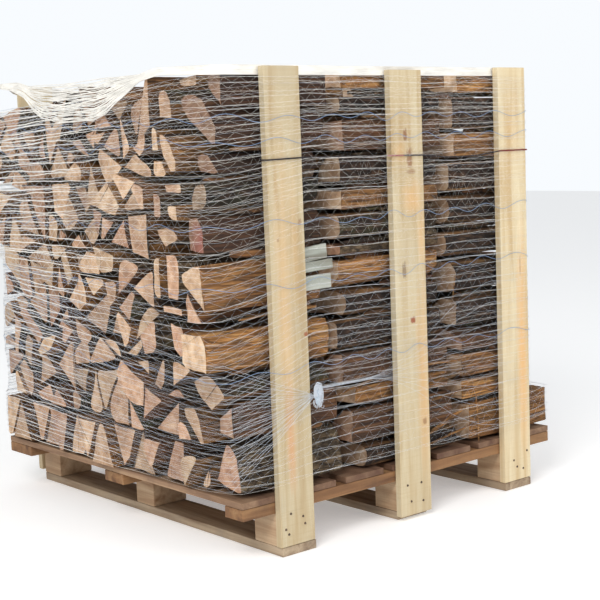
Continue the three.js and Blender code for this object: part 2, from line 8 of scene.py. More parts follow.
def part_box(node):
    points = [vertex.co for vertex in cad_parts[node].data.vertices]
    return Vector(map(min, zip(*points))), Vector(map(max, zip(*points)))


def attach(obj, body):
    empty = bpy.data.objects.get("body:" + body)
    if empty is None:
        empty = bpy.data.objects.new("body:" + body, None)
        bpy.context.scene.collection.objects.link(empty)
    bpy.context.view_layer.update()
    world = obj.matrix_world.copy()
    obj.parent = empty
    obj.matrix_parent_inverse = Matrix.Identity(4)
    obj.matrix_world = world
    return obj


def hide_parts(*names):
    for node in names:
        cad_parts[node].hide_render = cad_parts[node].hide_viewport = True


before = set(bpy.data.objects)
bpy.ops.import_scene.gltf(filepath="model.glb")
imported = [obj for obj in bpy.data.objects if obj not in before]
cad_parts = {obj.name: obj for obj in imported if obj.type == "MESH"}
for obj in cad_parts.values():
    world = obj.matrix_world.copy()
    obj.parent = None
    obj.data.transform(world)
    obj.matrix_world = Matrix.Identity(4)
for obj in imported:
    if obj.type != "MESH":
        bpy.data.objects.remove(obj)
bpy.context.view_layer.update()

# Lengths are in millimetres, in the pallet's own frame, with the same driving values as the solids.
# X runs along the front of the load, Y towards its back and Z up.
MM = 0.001
BED_HALF = 500
TOUCH_GAP = 0.3
UPRIGHT_THICKNESS = 18
# The boards up each side: left edge, width, foot and top.
UPRIGHT_SPANS = {
    "front": [(-412.4, 96, 20.3, 1039), (-52, 100, 10, 1033), (310, 98, 20.3, 1041)],
    "back": [(-410, 98, 24, 1052), (-48, 97, 22, 1036), (308, 98, 26, 1040)],
}

# The load: a front strip two logs deep, a bottom course of wedges, and split logs packed over it
LOG_BED = 133.7
LOAD_HEIGHT = 902
LOAD_FRONT = -494.5
LOAD_BACK = 499
FRONT_STRIP_BACK = -292
FRONT_LOG_DEPTH = 96
JOINED_LOG_DEPTH = 158
FRONT_DEPTH_SCATTER = 26
COURSE_TILT = 0.09
COURSE_SLOPE = 0.5
LOG_GAP = 2.6
LOOSE_GAP = 7.5
CHIPPED_SHARE = 0.4
CHIP_DEPTH = (0.25, 0.45)
SHORTEST_EDGE = 11
SMALLEST_LOG = 900
LOG_AREA = 7600
LOG_AREA_SPREAD = (0.55, 1.45)
SPLIT_OFFSET = 0.16
SPLIT_TURN = 0.9
WEDGE_COURSE = 112
WEDGE_STEP = 66
WEDGE_SCATTER = 14
WEDGE_TURN = (0.28, 0.48)
CUT_TILT = 0.05
END_SCATTER = 36
LENGTH_SCATTER = 14
LEAN = 65
LEAN_TURN = 0.86
STRIP_END_LEAN = 0.2
RIDGE_DEPTH = 30
# The logs at the near left corner, laid one by one: the X of each front log's end, and the
# outlines counterclockwise from below as (y, z) corners.
CORNER_FRONT_LOGS = [
    (-490, [(-492, 138), (-392, 160), (-436, 262), (-474, 240)]),
    (-505, [(-491, 264), (-436, 274), (-434, 313), (-491, 351)]),
    (-524, [(-437, 322), (-400, 348), (-368, 384), (-416, 405), (-442, 405), (-474, 384), (-492, 359)]),
    (-568, [(-488, 411), (-411, 417), (-397, 430), (-395, 497), (-476, 501), (-490, 475)]),
    (-568, [(-490, 534), (-458, 559), (-414, 598), (-409, 619), (-450, 642), (-482, 645), (-488, 606)]),
    (-560, [(-489, 656), (-432, 664), (-428, 700), (-434, 738), (-470, 742), (-490, 712)]),
    (-545, [(-478, 748), (-430, 744), (-425, 775), (-440, 806), (-478, 812), (-491, 780)]),
    (-516, [(-491, 824), (-470, 816), (-426, 821), (-411, 838), (-413, 864), (-437, 870), (-458, 865)]),
    (-516, [
        (-481, 875), (-462, 877), (-392, 928), (-364, 958), (-362, 980),
        (-385, 991), (-411, 991), (-445, 981), (-479, 938), (-491, 915),
    ]),
    (-500, [(-491, 948), (-438, 996), (-436, 1030), (-491, 1032)]),
]
CORNER_INNER_LOGS = [
    [(-322, 136), (-297, 214), (-390, 238), (-393, 224)],
    [(-386, 138), (-336, 138), (-386, 206)],
    [(-412, 248), (-392, 243), (-337, 298), (-334, 327), (-380, 330), (-398, 302)],
    [(-362, 246), (-300, 240), (-296, 288), (-330, 292)],
    [(-385, 406), (-350, 383), (-300, 356), (-302, 430), (-388, 419)],
    [(-388, 340), (-303, 336), (-303, 350), (-352, 378)],
    [(-377, 434), (-349, 430), (-327, 449), (-308, 512), (-366, 503), (-375, 480)],
    [(-464, 512), (-402, 508), (-399, 560), (-412, 588)],
    [(-388, 552), (-341, 557), (-342, 660), (-383, 661), (-395, 640), (-394, 588)],
    [(-386, 520), (-308, 524), (-304, 550), (-345, 550), (-386, 545)],
    [(-332, 556), (-298, 558), (-298, 650), (-330, 655)],
    [(-399, 682), (-351, 666), (-333, 686), (-318, 712), (-362, 718), (-389, 710), (-407, 695)],
    [(-366, 729), (-342, 729), (-343, 770), (-363, 768)],
    [(-418, 722), (-376, 726), (-374, 770), (-416, 764)],
    [(-334, 728), (-298, 730), (-298, 790), (-332, 785)],
    [(-415, 776), (-350, 780), (-345, 808), (-412, 812)],
    [(-403, 824), (-374, 822), (-350, 860), (-338, 914), (-366, 910), (-386, 886), (-408, 852)],
    [(-452, 876), (-414, 874), (-393, 893), (-399, 913)],
    [(-352, 934), (-298, 938), (-298, 1000), (-330, 1008), (-352, 975)],
    [(-425, 1000), (-360, 1000), (-356, 1024), (-428, 1030)],
    [(-332, 868), (-298, 868), (-298, 928), (-325, 926)],
    [(-360, 816), (-300, 812), (-298, 858), (-340, 858)],
]
# Each row's place and length, the heights of its front courses, the courses that are part of the
# row's own solid, the line of its top as (y, z), and where its front logs end if cut short.
ROWS = [
    {
        "name": "left",
        "seed": 4127,
        "from": -503,
        "length": 322,
        "strip": [],
        "joined": [],
        "ridge": [(-500, 1036), (-320, 1034), (-190, 1006), (70, 1000), (190, 1008), (500, 1026)],
        "strip_end": None,
    },
    {
        "name": "middle",
        "seed": 9203,
        "from": -141,
        "length": 322,
        "strip": [62, 84, 54, 80, 72, 66, 68, 38, 66, 54, 78, 72, 58, 50],
        "joined": [0, 5, 7, 9, 11],
        "ridge": [(-500, 1036), (0, 1000), (500, 1010)],
        "strip_end": None,
    },
    {
        "name": "right",
        "seed": 6151,
        "from": 221,
        "length": 300,
        "strip": [104, 58, 66, 62, 78, 84, 76, 88, 72, 74, 80, 60],
        "joined": [1, 3, 6, 9],
        "ridge": [(-500, 1036), (100, 1020), (500, 990)],
        "strip_end": 436,
    },
]
# The left front corner of the middle block, which tells where the frame has the pallet's own zero
MIDDLE_BLOCK_CORNER = (-46, -34)
block_low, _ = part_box("block_middle_middle")
SHIFT = Vector((block_low.x / MM - MIDDLE_BLOCK_CORNER[0], block_low.y / MM - MIDDLE_BLOCK_CORNER[1], 0))


def spot(x, y, z):
    """A point of the pallet in millimetres as a point of the scene."""
    return (Vector((x, y, z)) + SHIFT) * MM


# Where each log lies


def random_from(seed):
    """Repeatable random numbers from 0 to 1, the same as the solids' own."""
    state = [seed]

    def draw():
        state[0] = (state[0] * 16807) % 2147483647
        return state[0] / 2147483647

    return draw


def between(limits, draw):
    return limits[0] + (limits[1] - limits[0]) * draw()


def spread(width, draw):
    return width * (draw() - 0.5)


def cut(outline, point, angle):
    """The two halves of an outline, left and right of a line through a point."""
    across = (-math.sin(angle), math.cos(angle))
    left, right = [], []
    sides = [(c[0] - point[0]) * across[0] + (c[1] - point[1]) * across[1] for c in outline]
    for index, corner in enumerate(outline):
        following = (index + 1) % len(outline)
        here, there = sides[index], sides[following]
        if here >= 0:
            left.append(corner)
        if here <= 0:
            right.append(corner)
        if here * there < 0:
            part = here / (here - there)
            crossing = tuple(a + part * (b - a) for a, b in zip(corner, outline[following]))
            left.append(crossing)
            right.append(crossing)
    return left, right


def pairs(outline):
    return [(corner, outline[(index + 1) % len(outline)]) for index, corner in enumerate(outline)]


def area(outline):
    return sum(a[0] * b[1] - b[0] * a[1] for a, b in pairs(outline)) / 2


def middle(outline):
    return tuple(sum(corner[axis] for corner in outline) / len(outline) for axis in (0, 1))


def shrink(outline, gap):
    """Moves every side inwards by the gap, then drops the corners of very short sides."""
    inner = outline
    for corner, following in pairs(outline):
        angle = math.atan2(following[1] - corner[1], following[0] - corner[0])
        moved = (corner[0] - gap * math.sin(angle), corner[1] + gap * math.cos(angle))
        inner = cut(inner, moved, angle)[0]
    return [a for a, b in pairs(inner) if math.hypot(b[0] - a[0], b[1] - a[1]) > SHORTEST_EDGE]


def chip(outline, draw):
    """Takes one corner off an outline, as where a log was round or has lost a sliver."""
    index = math.floor(draw() * len(outline))
    corner = outline[index]
    ahead = outline[(index + 1) % len(outline)]
    back = outline[index - 1]
    share = between(CHIP_DEPTH, draw)
    start = [b + (1 - share) * (c - b) for b, c in zip(back, corner)]
    end = [a + (1 - share) * (c - a) for a, c in zip(ahead, corner)]
    return cut(outline, start, math.atan2(end[1] - start[1], end[0] - start[0]))[0]


def split_logs(outline, draw, logs):
    """Splits an outline across its longest diagonal, again and again, down to the size of a log."""
    if area(outline) < LOG_AREA * between(LOG_AREA_SPREAD, draw):
        logs.append(outline)
        return
    longest = (0, 0)
    for corner in outline:
        for other in outline:
            span = (other[0] - corner[0], other[1] - corner[1])
            if math.hypot(*span) > math.hypot(*longest):
                longest = span
    centre = middle(outline)
    reach = math.hypot(*longest) * SPLIT_OFFSET
    point = (centre[0] + spread(reach, draw), centre[1] + spread(reach, draw))
    angle = math.atan2(longest[1], longest[0]) + math.pi / 2 + spread(SPLIT_TURN, draw)
    for half in cut(outline, point, angle):
        split_logs(half, draw, logs)


def row_outlines(row, draw):
    """The outlines of one row's logs: those of the front column, then all the others."""
    top = LOG_BED + LOAD_HEIGHT
    centre_height = LOG_BED + LOAD_HEIGHT / 2
    whole = [(LOAD_FRONT, LOG_BED), (LOAD_BACK, LOG_BED), (LOAD_BACK, top), (LOAD_FRONT, top)]
    upright = math.pi / 2
    strip, rest = cut(whole, (FRONT_STRIP_BACK, centre_height), upright + spread(CUT_TILT, draw))
    front = [] if row["strip"] else [outline for _, outline in CORNER_FRONT_LOGS]
    behind = [] if row["strip"] else list(CORNER_INNER_LOGS)
    remaining, height = strip, LOG_BED
    for index, course in enumerate(row["strip"]):
        height += course
        tilt = spread(COURSE_TILT, draw)
        if index == len(row["strip"]) - 1:
            layer = remaining
        else:
            remaining, layer = cut(remaining, (LOAD_FRONT + FRONT_LOG_DEPTH, height), tilt)
        reach = JOINED_LOG_DEPTH if index in row["joined"] else FRONT_LOG_DEPTH
        depth = LOAD_FRONT + reach + spread(FRONT_DEPTH_SCATTER, draw)
        near, far = cut(layer, (depth, height - course / 2), upright + spread(COURSE_SLOPE, draw))
        front.append(near)
        behind.append(far)
    upper, wedges = cut(rest, (0, LOG_BED + WEDGE_COURSE), spread(CUT_TILT, draw))
    turn = 1
    y = FRONT_STRIP_BACK + WEDGE_STEP
    while y < LOAD_BACK - WEDGE_STEP / 2:
        place = (y + spread(WEDGE_SCATTER, draw), LOG_BED + WEDGE_COURSE / 2)
        near, wedges = cut(wedges, place, upright + turn * between(WEDGE_TURN, draw))
        behind.append(near)
        turn = -turn
        y += WEDGE_STEP
    behind.append(wedges)
    split_logs(upper, draw, behind)
    return front, behind


def height_at(line, y):
    for (y0, z0), (y1, z1) in zip(line, line[1:]):
        if y <= y1:
            return z0 + (y - y0) / (y1 - y0) * (z1 - z0)
    return line[-1][1]


def lean_at(centre):
    """The load leans out to the left, most of all at half height and at its front."""
    rise = min(1, max(0, (centre[1] - LOG_BED) / LOAD_HEIGHT))
    return -LEAN * math.sin(math.pi * LEAN_TURN * rise) * (0.5 - centre[0] / (2 * BED_HALF))


def row_logs(row):
    """Every log of one row: its outline, its two ends in X and its course in the front column."""
    draw = random_from(row["seed"])
    front, behind = row_outlines(row, draw)
    logs = []
    for index, raw in enumerate(front + behind):
        in_front = index < len(front)
        laid = not row["strip"] and index < len(front) + len(CORNER_INNER_LOGS)
        looseness = 0 if laid else draw()
        chipped = chip(raw, draw) if not laid and draw() < CHIPPED_SHARE else raw
        outline = shrink(chipped, LOG_GAP + LOOSE_GAP * looseness * looseness)
        start_scatter = spread(END_SCATTER, draw)
        end_scatter = spread(LENGTH_SCATTER, draw)
        if len(outline) < 3 or area(outline) < SMALLEST_LOG:
            continue
        centre = middle(outline)
        if not laid and not in_front and centre[1] > height_at(row["ridge"], centre[0]) - RIDGE_DEPTH:
            continue
        lean = lean_at(centre)
        low = CORNER_FRONT_LOGS[index][0] if laid and in_front else row["from"] + start_scatter + lean
        high = row["from"] + row["length"] + end_scatter + lean
        if in_front and index > 0 and row["strip_end"]:
            high = min(high, row["strip_end"] + lean * STRIP_END_LEAN)
        course = index if in_front else -1
        logs.append({"outline": outline, "centre": centre, "low": low, "high": high, "course": course})
    return logs


# Node materials


class Look:
    """A material with short calls for its nodes."""

    def __init__(self, name, roughness=0.8):
        self.material = bpy.data.materials.new(name)
        self.material.use_nodes = True
        self.tree = self.material.node_tree
        self.tree.nodes.clear()
        self.output = self.tree.nodes.new("ShaderNodeOutputMaterial")
        self.shader = self.tree.nodes.new("ShaderNodeBsdfPrincipled")
        self.shader.inputs["Roughness"].default_value = roughness
        self.tree.links.new(self.shader.outputs[0], self.output.inputs["Surface"])

    def put(self, socket, value):
        """Links another node's output to a socket, or sets the socket to a value."""
        if isinstance(value, bpy.types.NodeSocket):
            self.tree.links.new(value, socket)
        elif hasattr(value, "__len__") and len(value) == 3 and socket.type == "RGBA":
            socket.default_value = (*value, 1)
        else:
            socket.default_value = value

    def node(self, kind, settings=None, **inputs):
        made = self.tree.nodes.new("ShaderNode" + kind)
        for key, value in (settings or {}).items():
            setattr(made, key, value)
        for key, value in inputs.items():
            self.put(made.inputs[key.replace("_", " ")], value)
        return made

    def place(self, scale=(1, 1, 1), offset=(0, 0, 0)):
        """The place on the piece, in metres, scaled and moved."""
        coordinates = self.node("TexCoord").outputs["Object"]
        return self.node("Mapping", Vector=coordinates, Location=offset, Scale=scale).outputs[0]

    def grain(self):
        """How far a place on a sawn end lies from the log's pith."""
        return self.node("UVMap", {"uv_map": "grain"}).outputs[0]

    def clouds(self, vector, scale, detail=4, roughness=0.55, distortion=0):
        """A soft cloudy noise round 0.5."""
        made = self.node("TexNoise", Vector=vector, Scale=scale, Detail=detail, Roughness=roughness)
        made.inputs["Distortion"].default_value = distortion
        return made.outputs["Fac"]

    def math(self, operation, first, second=0.5):
        made = self.tree.nodes.new("ShaderNodeMath")
        made.operation = operation
        for socket, value in zip(made.inputs, (first, second)):
            self.put(socket, value)
        return made.outputs[0]

    def cracks(self, scale, offset, width, strength):
        """Dark lines where a stretched noise crosses its middle value."""
        field = self.clouds(self.place(scale, offset), 1.0, 4, 0.55, 0.4)
        away = self.math("ABSOLUTE", self.math("SUBTRACT", field, 0.5))
        return self.fade(away, 0.0, width, strength, 0.0)

    def fade(self, value, low, high, start=0.0, end=1.0):
        """Runs from start to end while the value runs from low to high."""
        made = self.node("MapRange", {"clamp": True}, Value=value, From_Min=low, From_Max=high)
        made.inputs["To Min"].default_value = start
        made.inputs["To Max"].default_value = end
        return made.outputs[0]

    def ramp(self, value, stops):
        """Colours at named places between 0 and 1, blended between them."""
        made = self.node("ValToRGB", Fac=value)
        band = made.color_ramp
        while len(band.elements) > 1:
            band.elements.remove(band.elements[-1])
        band.elements[0].position = stops[0][0]
        band.elements[0].color = (*stops[0][1], 1)
        for position, colour in stops[1:]:
            band.elements.new(position).color = (*colour, 1)
        return made.outputs[0]

    def mix(self, share, first, second):
        made = self.tree.nodes.new("ShaderNodeMix")
        made.data_type = "RGBA"
        self.put(made.inputs[0], share)
        self.put(made.inputs[6], first)
        self.put(made.inputs[7], second)
        return made.outputs[2]

    def tone(self):
        """The log's lightness, warmth and age; on the darkest front logs the lightness is painted shade."""
        colour = self.node("Attribute", {"attribute_name": "tone"}).outputs["Color"]
        return self.node("SeparateColor", Color=colour).outputs[:3]

    def brighten(self, colour, light, darkest, lightest):
        """A colour made darker or lighter by the log's lightness, which on the darkest front logs is painted
        shade.
        """
        value = self.fade(light, 0, 1, darkest, lightest)
        return self.node("HueSaturation", Color=colour, Value=value).outputs[0]

    def layers(self, *parts):
        """A height made of several fields, each with its own share."""
        fields = [self.math("MULTIPLY", field, share) for field, share in parts]
        height = fields[0]
        for field in fields[1:]:
            height = self.math("ADD", height, field)
        return height

    def finish(self, colour, height=None, depth=0.001, strength=1.0):
        """The material with its colour, and with a relief where a height is given."""
        self.put(self.shader.inputs["Base Color"], colour)
        if height is not None:
            bump = self.node("Bump", Height=height, Distance=depth, Strength=strength)
            self.put(self.shader.inputs["Normal"], bump.outputs[0])
        return self.material


def srgb(red, green, blue):
    """A colour given as it looks, from 0 to 255, in the renderer's linear values."""
    channels = (value / 255 for value in (red, green, blue))
    return tuple(c / 12.92 if c <= 0.04045 else ((c + 0.055) / 1.055) ** 2.4 for c in channels)


def shades(*parts):
    """The stops of a ramp, each given as its place and its colour from 0 to 255."""
    return [(place, srgb(*colour)) for place, *colour in parts]


def split_face_look():
    """Split wood with long fibres, dark stains and cracks along the log."""
    look = Look("split_wood", 0.85)
    light, warm, _ = look.tone()
    fibres = look.clouds(look.place((5, 70, 70)), 1.6, 8, 0.62, 0.6)
    threads = look.clouds(look.place((9, 260, 260)), 1.5, 4, 0.6)
    patches = look.clouds(look.place((6, 14, 14)), 1.3, 4, 0.6)
    pale = look.ramp(fibres, shades((0.25, 98, 58, 28), (0.46, 182, 126, 66), (0.68, 220, 170, 106)))
    ruddy = look.ramp(fibres, shades((0.25, 50, 28, 17), (0.5, 114, 70, 42), (0.72, 162, 112, 72)))
    body = look.mix(warm, pale, ruddy)
    streaked = look.mix(look.fade(threads, 0.42, 0.66, 0.0, 0.55), body, srgb(84, 52, 30))
    stained = look.mix(look.fade(patches, 0.48, 0.7, 0.0, 0.7), streaked, srgb(74, 56, 42))
    long_cracks = look.cracks((3.2, 50, 50), (2, 7, 4), 0.032, 0.8)
    short_cracks = look.cracks((9, 115, 115), (5, 1, 3), 0.05, 0.45)
    lines = look.math("MAXIMUM", long_cracks, short_cracks)
    cracked = look.mix(lines, stained, srgb(40, 23, 14))
    height = look.layers((fibres, 1.2), (threads, 0.5), (lines, -0.5))
    return look.finish(look.brighten(cracked, light, 0.32, 1.12), height, 0.008, 0.9)


def bark_look():
    """Furrowed bark, greyer and mossier on some logs."""
    look = Look("bark", 0.95)
    light, warm, age = look.tone()
    furrows = look.clouds(look.place((7, 34, 34)), 1.9, 7, 0.6, 1.4)
    crust = look.clouds(look.place((22, 44, 44)), 1.8, 8, 0.7, 0.5)
    fine = look.clouds(look.place((70, 120, 120)), 1.6, 4, 0.7)
    brown = look.ramp(crust, shades((0.3, 30, 17, 11), (0.5, 78, 48, 31), (0.7, 134, 92, 60)))
    grey = look.ramp(crust, shades((0.3, 54, 41, 29), (0.5, 114, 93, 68), (0.7, 166, 146, 114)))
    body = look.mix(warm, brown, grey)
    deep = look.fade(furrows, 0.5, 0.36, 0.0, 0.75)
    fissures = look.math("MAXIMUM", look.cracks((9, 38, 38), (1, 4, 2), 0.06, 0.85), deep)
    dark = look.mix(fissures, body, srgb(16, 10, 8))
    moss = look.clouds(look.place((9, 20, 20), (3, 1, 5)), 1.4, 5, 0.65)
    mossed = look.math("MULTIPLY", look.fade(moss, 0.48, 0.6), look.fade(age, 0.45, 0.8))
    green = look.mix(look.math("MULTIPLY", mossed, 0.7), dark, srgb(82, 82, 46))
    height = look.layers((furrows, 1.5), (crust, 1.1), (fine, 0.4), (fissures, -0.6))
    return look.finish(look.brighten(green, light, 0.36, 1.06), height, 0.009, 1.0)


# The turn of the growth rings' wave, in radians a metre from the pith
RING_TURN = 1500
STAIN_PLACE = (-560, -474, 684)
STAIN_SIZE = (0.04, 0.03, 0.045)


def end_grain_look():
    """A sawn end with growth rings, cracks out from the pith, and dust."""
    look = Look("sawn_end", 0.88)
    light, warm, age = look.tone()
    across = look.grain()
    wobble = look.clouds(look.place((1, 40, 40)), 1.0, 3)
    radius = look.node("VectorMath", {"operation": "LENGTH"}, Vector=across).outputs["Value"]
    rings = look.math("SINE", look.layers((radius, RING_TURN), (wobble, 9)))
    parts = look.node("SeparateXYZ", Vector=across)
    bearing = look.math("ARCTAN2", parts.outputs[1], parts.outputs[0])
    fan = look.node("CombineXYZ", X=look.math("MULTIPLY", bearing, 14), Y=age, Z=radius).outputs[0]
    crack = look.fade(look.clouds(fan, 1.6, 3, 0.6), 0.66, 0.7)
    mottled = look.clouds(look.place((6, 26, 26)), 1.5, 6, 0.65)
    saw = look.clouds(look.place((20, 260, 40)), 1.2, 2)
    pale = look.ramp(mottled, shades((0.28, 168, 134, 102), (0.5, 212, 180, 146), (0.72, 236, 214, 184)))
    pink = look.ramp(mottled, shades((0.28, 142, 102, 80), (0.5, 190, 148, 120), (0.72, 216, 184, 156)))
    body = look.mix(warm, pale, pink)
    ringed = look.mix(look.fade(rings, -0.2, 1.0, 0.0, 0.24), body, srgb(140, 102, 74))
    cracked = look.mix(look.math("MULTIPLY", crack, 0.75), ringed, srgb(52, 34, 26))
    dust = look.fade(look.clouds(look.place((3, 9, 9)), 1.5, 4), 0.5, 0.75, 0.0, 0.55)
    dusty = look.mix(dust, cracked, srgb(134, 112, 94))
    # A real reddish stain on one sawn end
    stain_and_painted_shade = blot(look, spot(*STAIN_PLACE), STAIN_SIZE, 0.9, 0.6)
    stained = look.mix(stain_and_painted_shade, dusty, srgb(196, 96, 92))
    height = look.layers((mottled, 0.8), (crack, -1.2), (saw, 0.4))
    return look.finish(look.brighten(stained, light, 0.44, 1.17), height, 0.003, 0.7)


def sawn_look(name, grain_axis, base, dark, light, grey, marks=0.5, knots=(), streaks_and_shade=(), rough=0.8):
    """Sawn softwood with its grain along one axis, and knots, streaks and painted shade patches where they
    are named.
    """
    look = Look(name, rough)

    def stretched(along, across):
        return tuple(along if axis == grain_axis else across for axis in range(3))

    figure = look.clouds(look.place(stretched(2.4, 34)), 1.3, 5, 0.5, 0.5)
    fibre = look.clouds(look.place(stretched(12, 300)), 1.2, 3, 0.6)
    weather = look.clouds(look.place((7, 7, 7)), 1.2, 5, 0.6)
    saw = look.clouds(look.place(stretched(330, 3)), 1.0, 2, 0.5, 0.2)
    colour = look.ramp(figure, [(0.3, light), (0.52, base), (0.7, dark)])
    colour = look.mix(look.fade(fibre, 0.45, 0.7, 0.0, 0.28), colour, dark)
    colour = look.mix(look.fade(weather, 0.48, 0.74, 0.0, 0.6), colour, grey)
    colour = look.mix(look.fade(saw, 0.52, 0.66, 0.0, 0.16 * marks), colour, dark)
    # These patches are real streaks on the uprights, and a painted shadow on the deck
    for centre, size, tint, strength in streaks_and_shade:
        colour = look.mix(blot(look, centre, size, 0.9, strength), colour, tint)
    for centre, size, tint, strength in knots:
        colour = look.mix(blot(look, centre, size, 0.35, strength), colour, tint)
    height = look.layers((saw, 0.7 * marks), (fibre, 0.5), (figure, 0.25))
    return look.finish(colour, height, 0.0012, 0.7)


def blot(look, centre, size, softness, strength):
    """A soft oval patch round a point, ragged at its edge."""
    near = [-c / s for c, s in zip(centre, size)]
    scaled = look.place([1 / s for s in size], near)
    ragged = look.node("TexNoise", Vector=scaled, Scale=1.7, Detail=3.0)
    offset = look.node("VectorMath", {"operation": "SUBTRACT"}, Vector=ragged.outputs["Color"])
    offset.inputs[1].default_value = (0.5, 0.5, 0.5)
    moved = look.node("VectorMath", {"operation": "MULTIPLY_ADD"}, Vector=offset.outputs[0])
    moved.inputs[1].default_value = (0.9, 0.9, 0.9)
    look.put(moved.inputs[2], scaled)
    distance = look.node("VectorMath", {"operation": "LENGTH"}, Vector=moved.outputs[0]).outputs["Value"]
    return look.fade(distance, 1.0 - softness, 1.0 + softness * 0.3, strength, 0.0)


# Pieces


def keep(piece, slot, *replaced):
    """Puts a piece on the pallet's one body, in place of the solids that it replaces."""
    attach(piece, "root")
    if replaced:
        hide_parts(*replaced)
    return piece


def piece_from(shape, name, materials, slot, *replaced):
    """A finished bmesh as a piece of its own."""
    mesh = bpy.data.meshes.new(name)
    shape.to_mesh(mesh)
    shape.free()
    for material in materials:
        mesh.materials.append(material)
    made = bpy.data.objects.new(name, mesh)
    bpy.context.scene.collection.objects.link(made)
    return keep(made, slot, *replaced)


BOARD_CUT_LENGTH = 0.03
SHARP_ANGLE = 0.8
DENT_SCALE = 26


def sawn_board(node, material, slot, seed, edge, wane):
    """A sawn board in the place of its solid, with broken edges and a slightly uneven surface."""
    low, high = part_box(node)
    size = high - low
    longest = max(range(3), key=lambda axis: size[axis])
    board = bmesh.new()
    bmesh.ops.create_cube(board, size=1)
    bmesh.ops.scale(board, vec=size, verts=board.verts)
    centre = (low + high) / 2
    inside = size / 2
    bmesh.ops.translate(board, vec=centre, verts=board.verts)
    along = [e for e in board.edges if abs((e.verts[0].co - e.verts[1].co)[longest]) > inside[longest]]
    cuts = max(3, int(size[longest] / BOARD_CUT_LENGTH))
    bmesh.ops.subdivide_edges(board, edges=along, cuts=cuts, use_grid_fill=True)
    sharp = [e for e in board.edges if len(e.link_faces) == 2 and e.calc_face_angle() > SHARP_ANGLE]
    settings = {"segments": 2, "profile": 0.6, "affect": "EDGES", "material": -1}
    bmesh.ops.bevel(board, geom=sharp, offset=edge * MM, **settings)
    for vert in board.verts:
        sample = vert.co * DENT_SCALE + Vector((seed * 3.7, seed, 0))
        dent = (noise.noise(sample) * 0.5 + 0.5) * wane * MM
        inward = Vector([(vert.co[axis] - centre[axis]) / inside[axis] for axis in range(3)])
        for axis in range(3):
            if abs(inward[axis]) > 0.9:
                vert.co[axis] -= math.copysign(dent, inward[axis])
    for face in board.faces:
        face.smooth = False
    piece_from(board, "seen_" + node, [material], slot, node)


# Each wood as its plain colour, the dark and the light of its figure, and its weathered grey
SKID_WOOD = (srgb(154, 134, 110), srgb(118, 94, 72), srgb(182, 162, 136), srgb(132, 122, 110))
BLOCK_WOOD = (srgb(178, 148, 116), srgb(140, 106, 76), srgb(202, 176, 144), srgb(146, 126, 104))
STRINGER_WOOD = (srgb(138, 99, 64), srgb(98, 66, 42), srgb(162, 124, 84), srgb(84, 60, 44))
DECK_WOOD = (srgb(152, 120, 92), srgb(102, 74, 56), srgb(184, 152, 120), srgb(98, 76, 64))
# A painted shadow on the deck boards' front ends, where the logs shade them: its height and its size
DECK_SHADE_HEIGHT = 126
DECK_SHADE_SIZE = (0.62, 0.13, 0.05)


def pallet_base():
    """Skids, blocks, stringers and deck boards, each kind in its own wood."""
    # Painted shade: a dark patch along the deck's front edge, for the shadow under the logs
    stain_and_painted_shade = (spot(0, -BED_HALF, DECK_SHADE_HEIGHT), DECK_SHADE_SIZE, srgb(84, 54, 40), 0.85)
    # Each kind of board with its wood, its slot, how far its edges are broken and its wane
    boards = {
        "skid": (sawn_look("skid_wood", 1, *SKID_WOOD, marks=0.6), "skid", 1.6, 0.8),
        "block": (sawn_look("block_wood", 1, *BLOCK_WOOD), "block", 1.4, 0.4),
        "stringer": (sawn_look("stringer_wood", 0, *STRINGER_WOOD), "stringer", 1.4, 0.5),
        "deck": (sawn_look("deck_wood", 1, *DECK_WOOD, streaks_and_shade=[stain_and_painted_shade]), "deck_board", 1.2, 0.6),
    }
    for index, node in enumerate(sorted(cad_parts)):
        kind = node.split("_")[0]
        if kind in boards:
            wood, slot, edge, wane = boards[kind]
            sawn_board(node, wood, slot, index, edge, wane)


# Pine in the same order, how light each front upright is against it, and the tints of its marks
PINE = (srgb(208, 190, 154), srgb(192, 166, 124), srgb(218, 204, 172), srgb(194, 180, 152))
PINE_LIGHT = {"upright_front_left": 0.83, "upright_front_middle": 0.9, "upright_front_right": 1.07}
TAN = srgb(222, 176, 120)
KNOT = srgb(132, 84, 50)
RED_KNOT = srgb(150, 82, 50)
FACE_DEPTH = 0.03
UPRIGHT_SEED = 40
# Marks on each upright: their place across and up the board, their size, tint and strength
UPRIGHT_MARKS = {
    "upright_front_left": {
        "knots": [
            ((84, 713), (6, 8), KNOT, 0.55),
            ((22, 679), (4, 5), KNOT, 0.4),
            ((90, 473), (7, 6), RED_KNOT, 0.85),
        ],
        "streaks_and_shade": [
            ((34, 540), (24, 330), TAN, 0.5),
            ((38, 250), (13, 120), srgb(206, 146, 96), 0.75),
            ((66, 700), (12, 170), TAN, 0.3),
        ],
    },
    "upright_front_middle": {
        "knots": [
            ((44, 888), (8, 16), KNOT, 0.8),
            ((56, 836), (11, 26), KNOT, 0.7),
            ((60, 805), (18, 6), KNOT, 0.5),
            ((30, 583), (8, 22), srgb(120, 96, 72), 0.7),
            ((54, 466), (10, 9), RED_KNOT, 0.95),
            ((84, 225), (8, 9), KNOT, 0.6),
        ],
        "streaks_and_shade": [
            ((62, 745), (34, 40), TAN, 0.7),
            ((88, 650), (14, 60), TAN, 0.6),
            ((84, 330), (22, 240), TAN, 0.7),
            ((26, 850), (20, 24), TAN, 0.5),
        ],
    },
    "upright_front_right": {
        "knots": [((70, 560), (4, 30), srgb(176, 122, 76), 0.5)],
        "streaks_and_shade": [((74, 360), (20, 280), srgb(228, 178, 116), 0.95), ((50, 900), (30, 90), TAN, 0.2)],
    },
}
# The marks of the uprights at the back
HIDDEN_MARKS = {"knots": [((60, 620), (8, 10), KNOT, 0.7)], "streaks_and_shade": [((40, 400), (20, 240), TAN, 0.6)]}


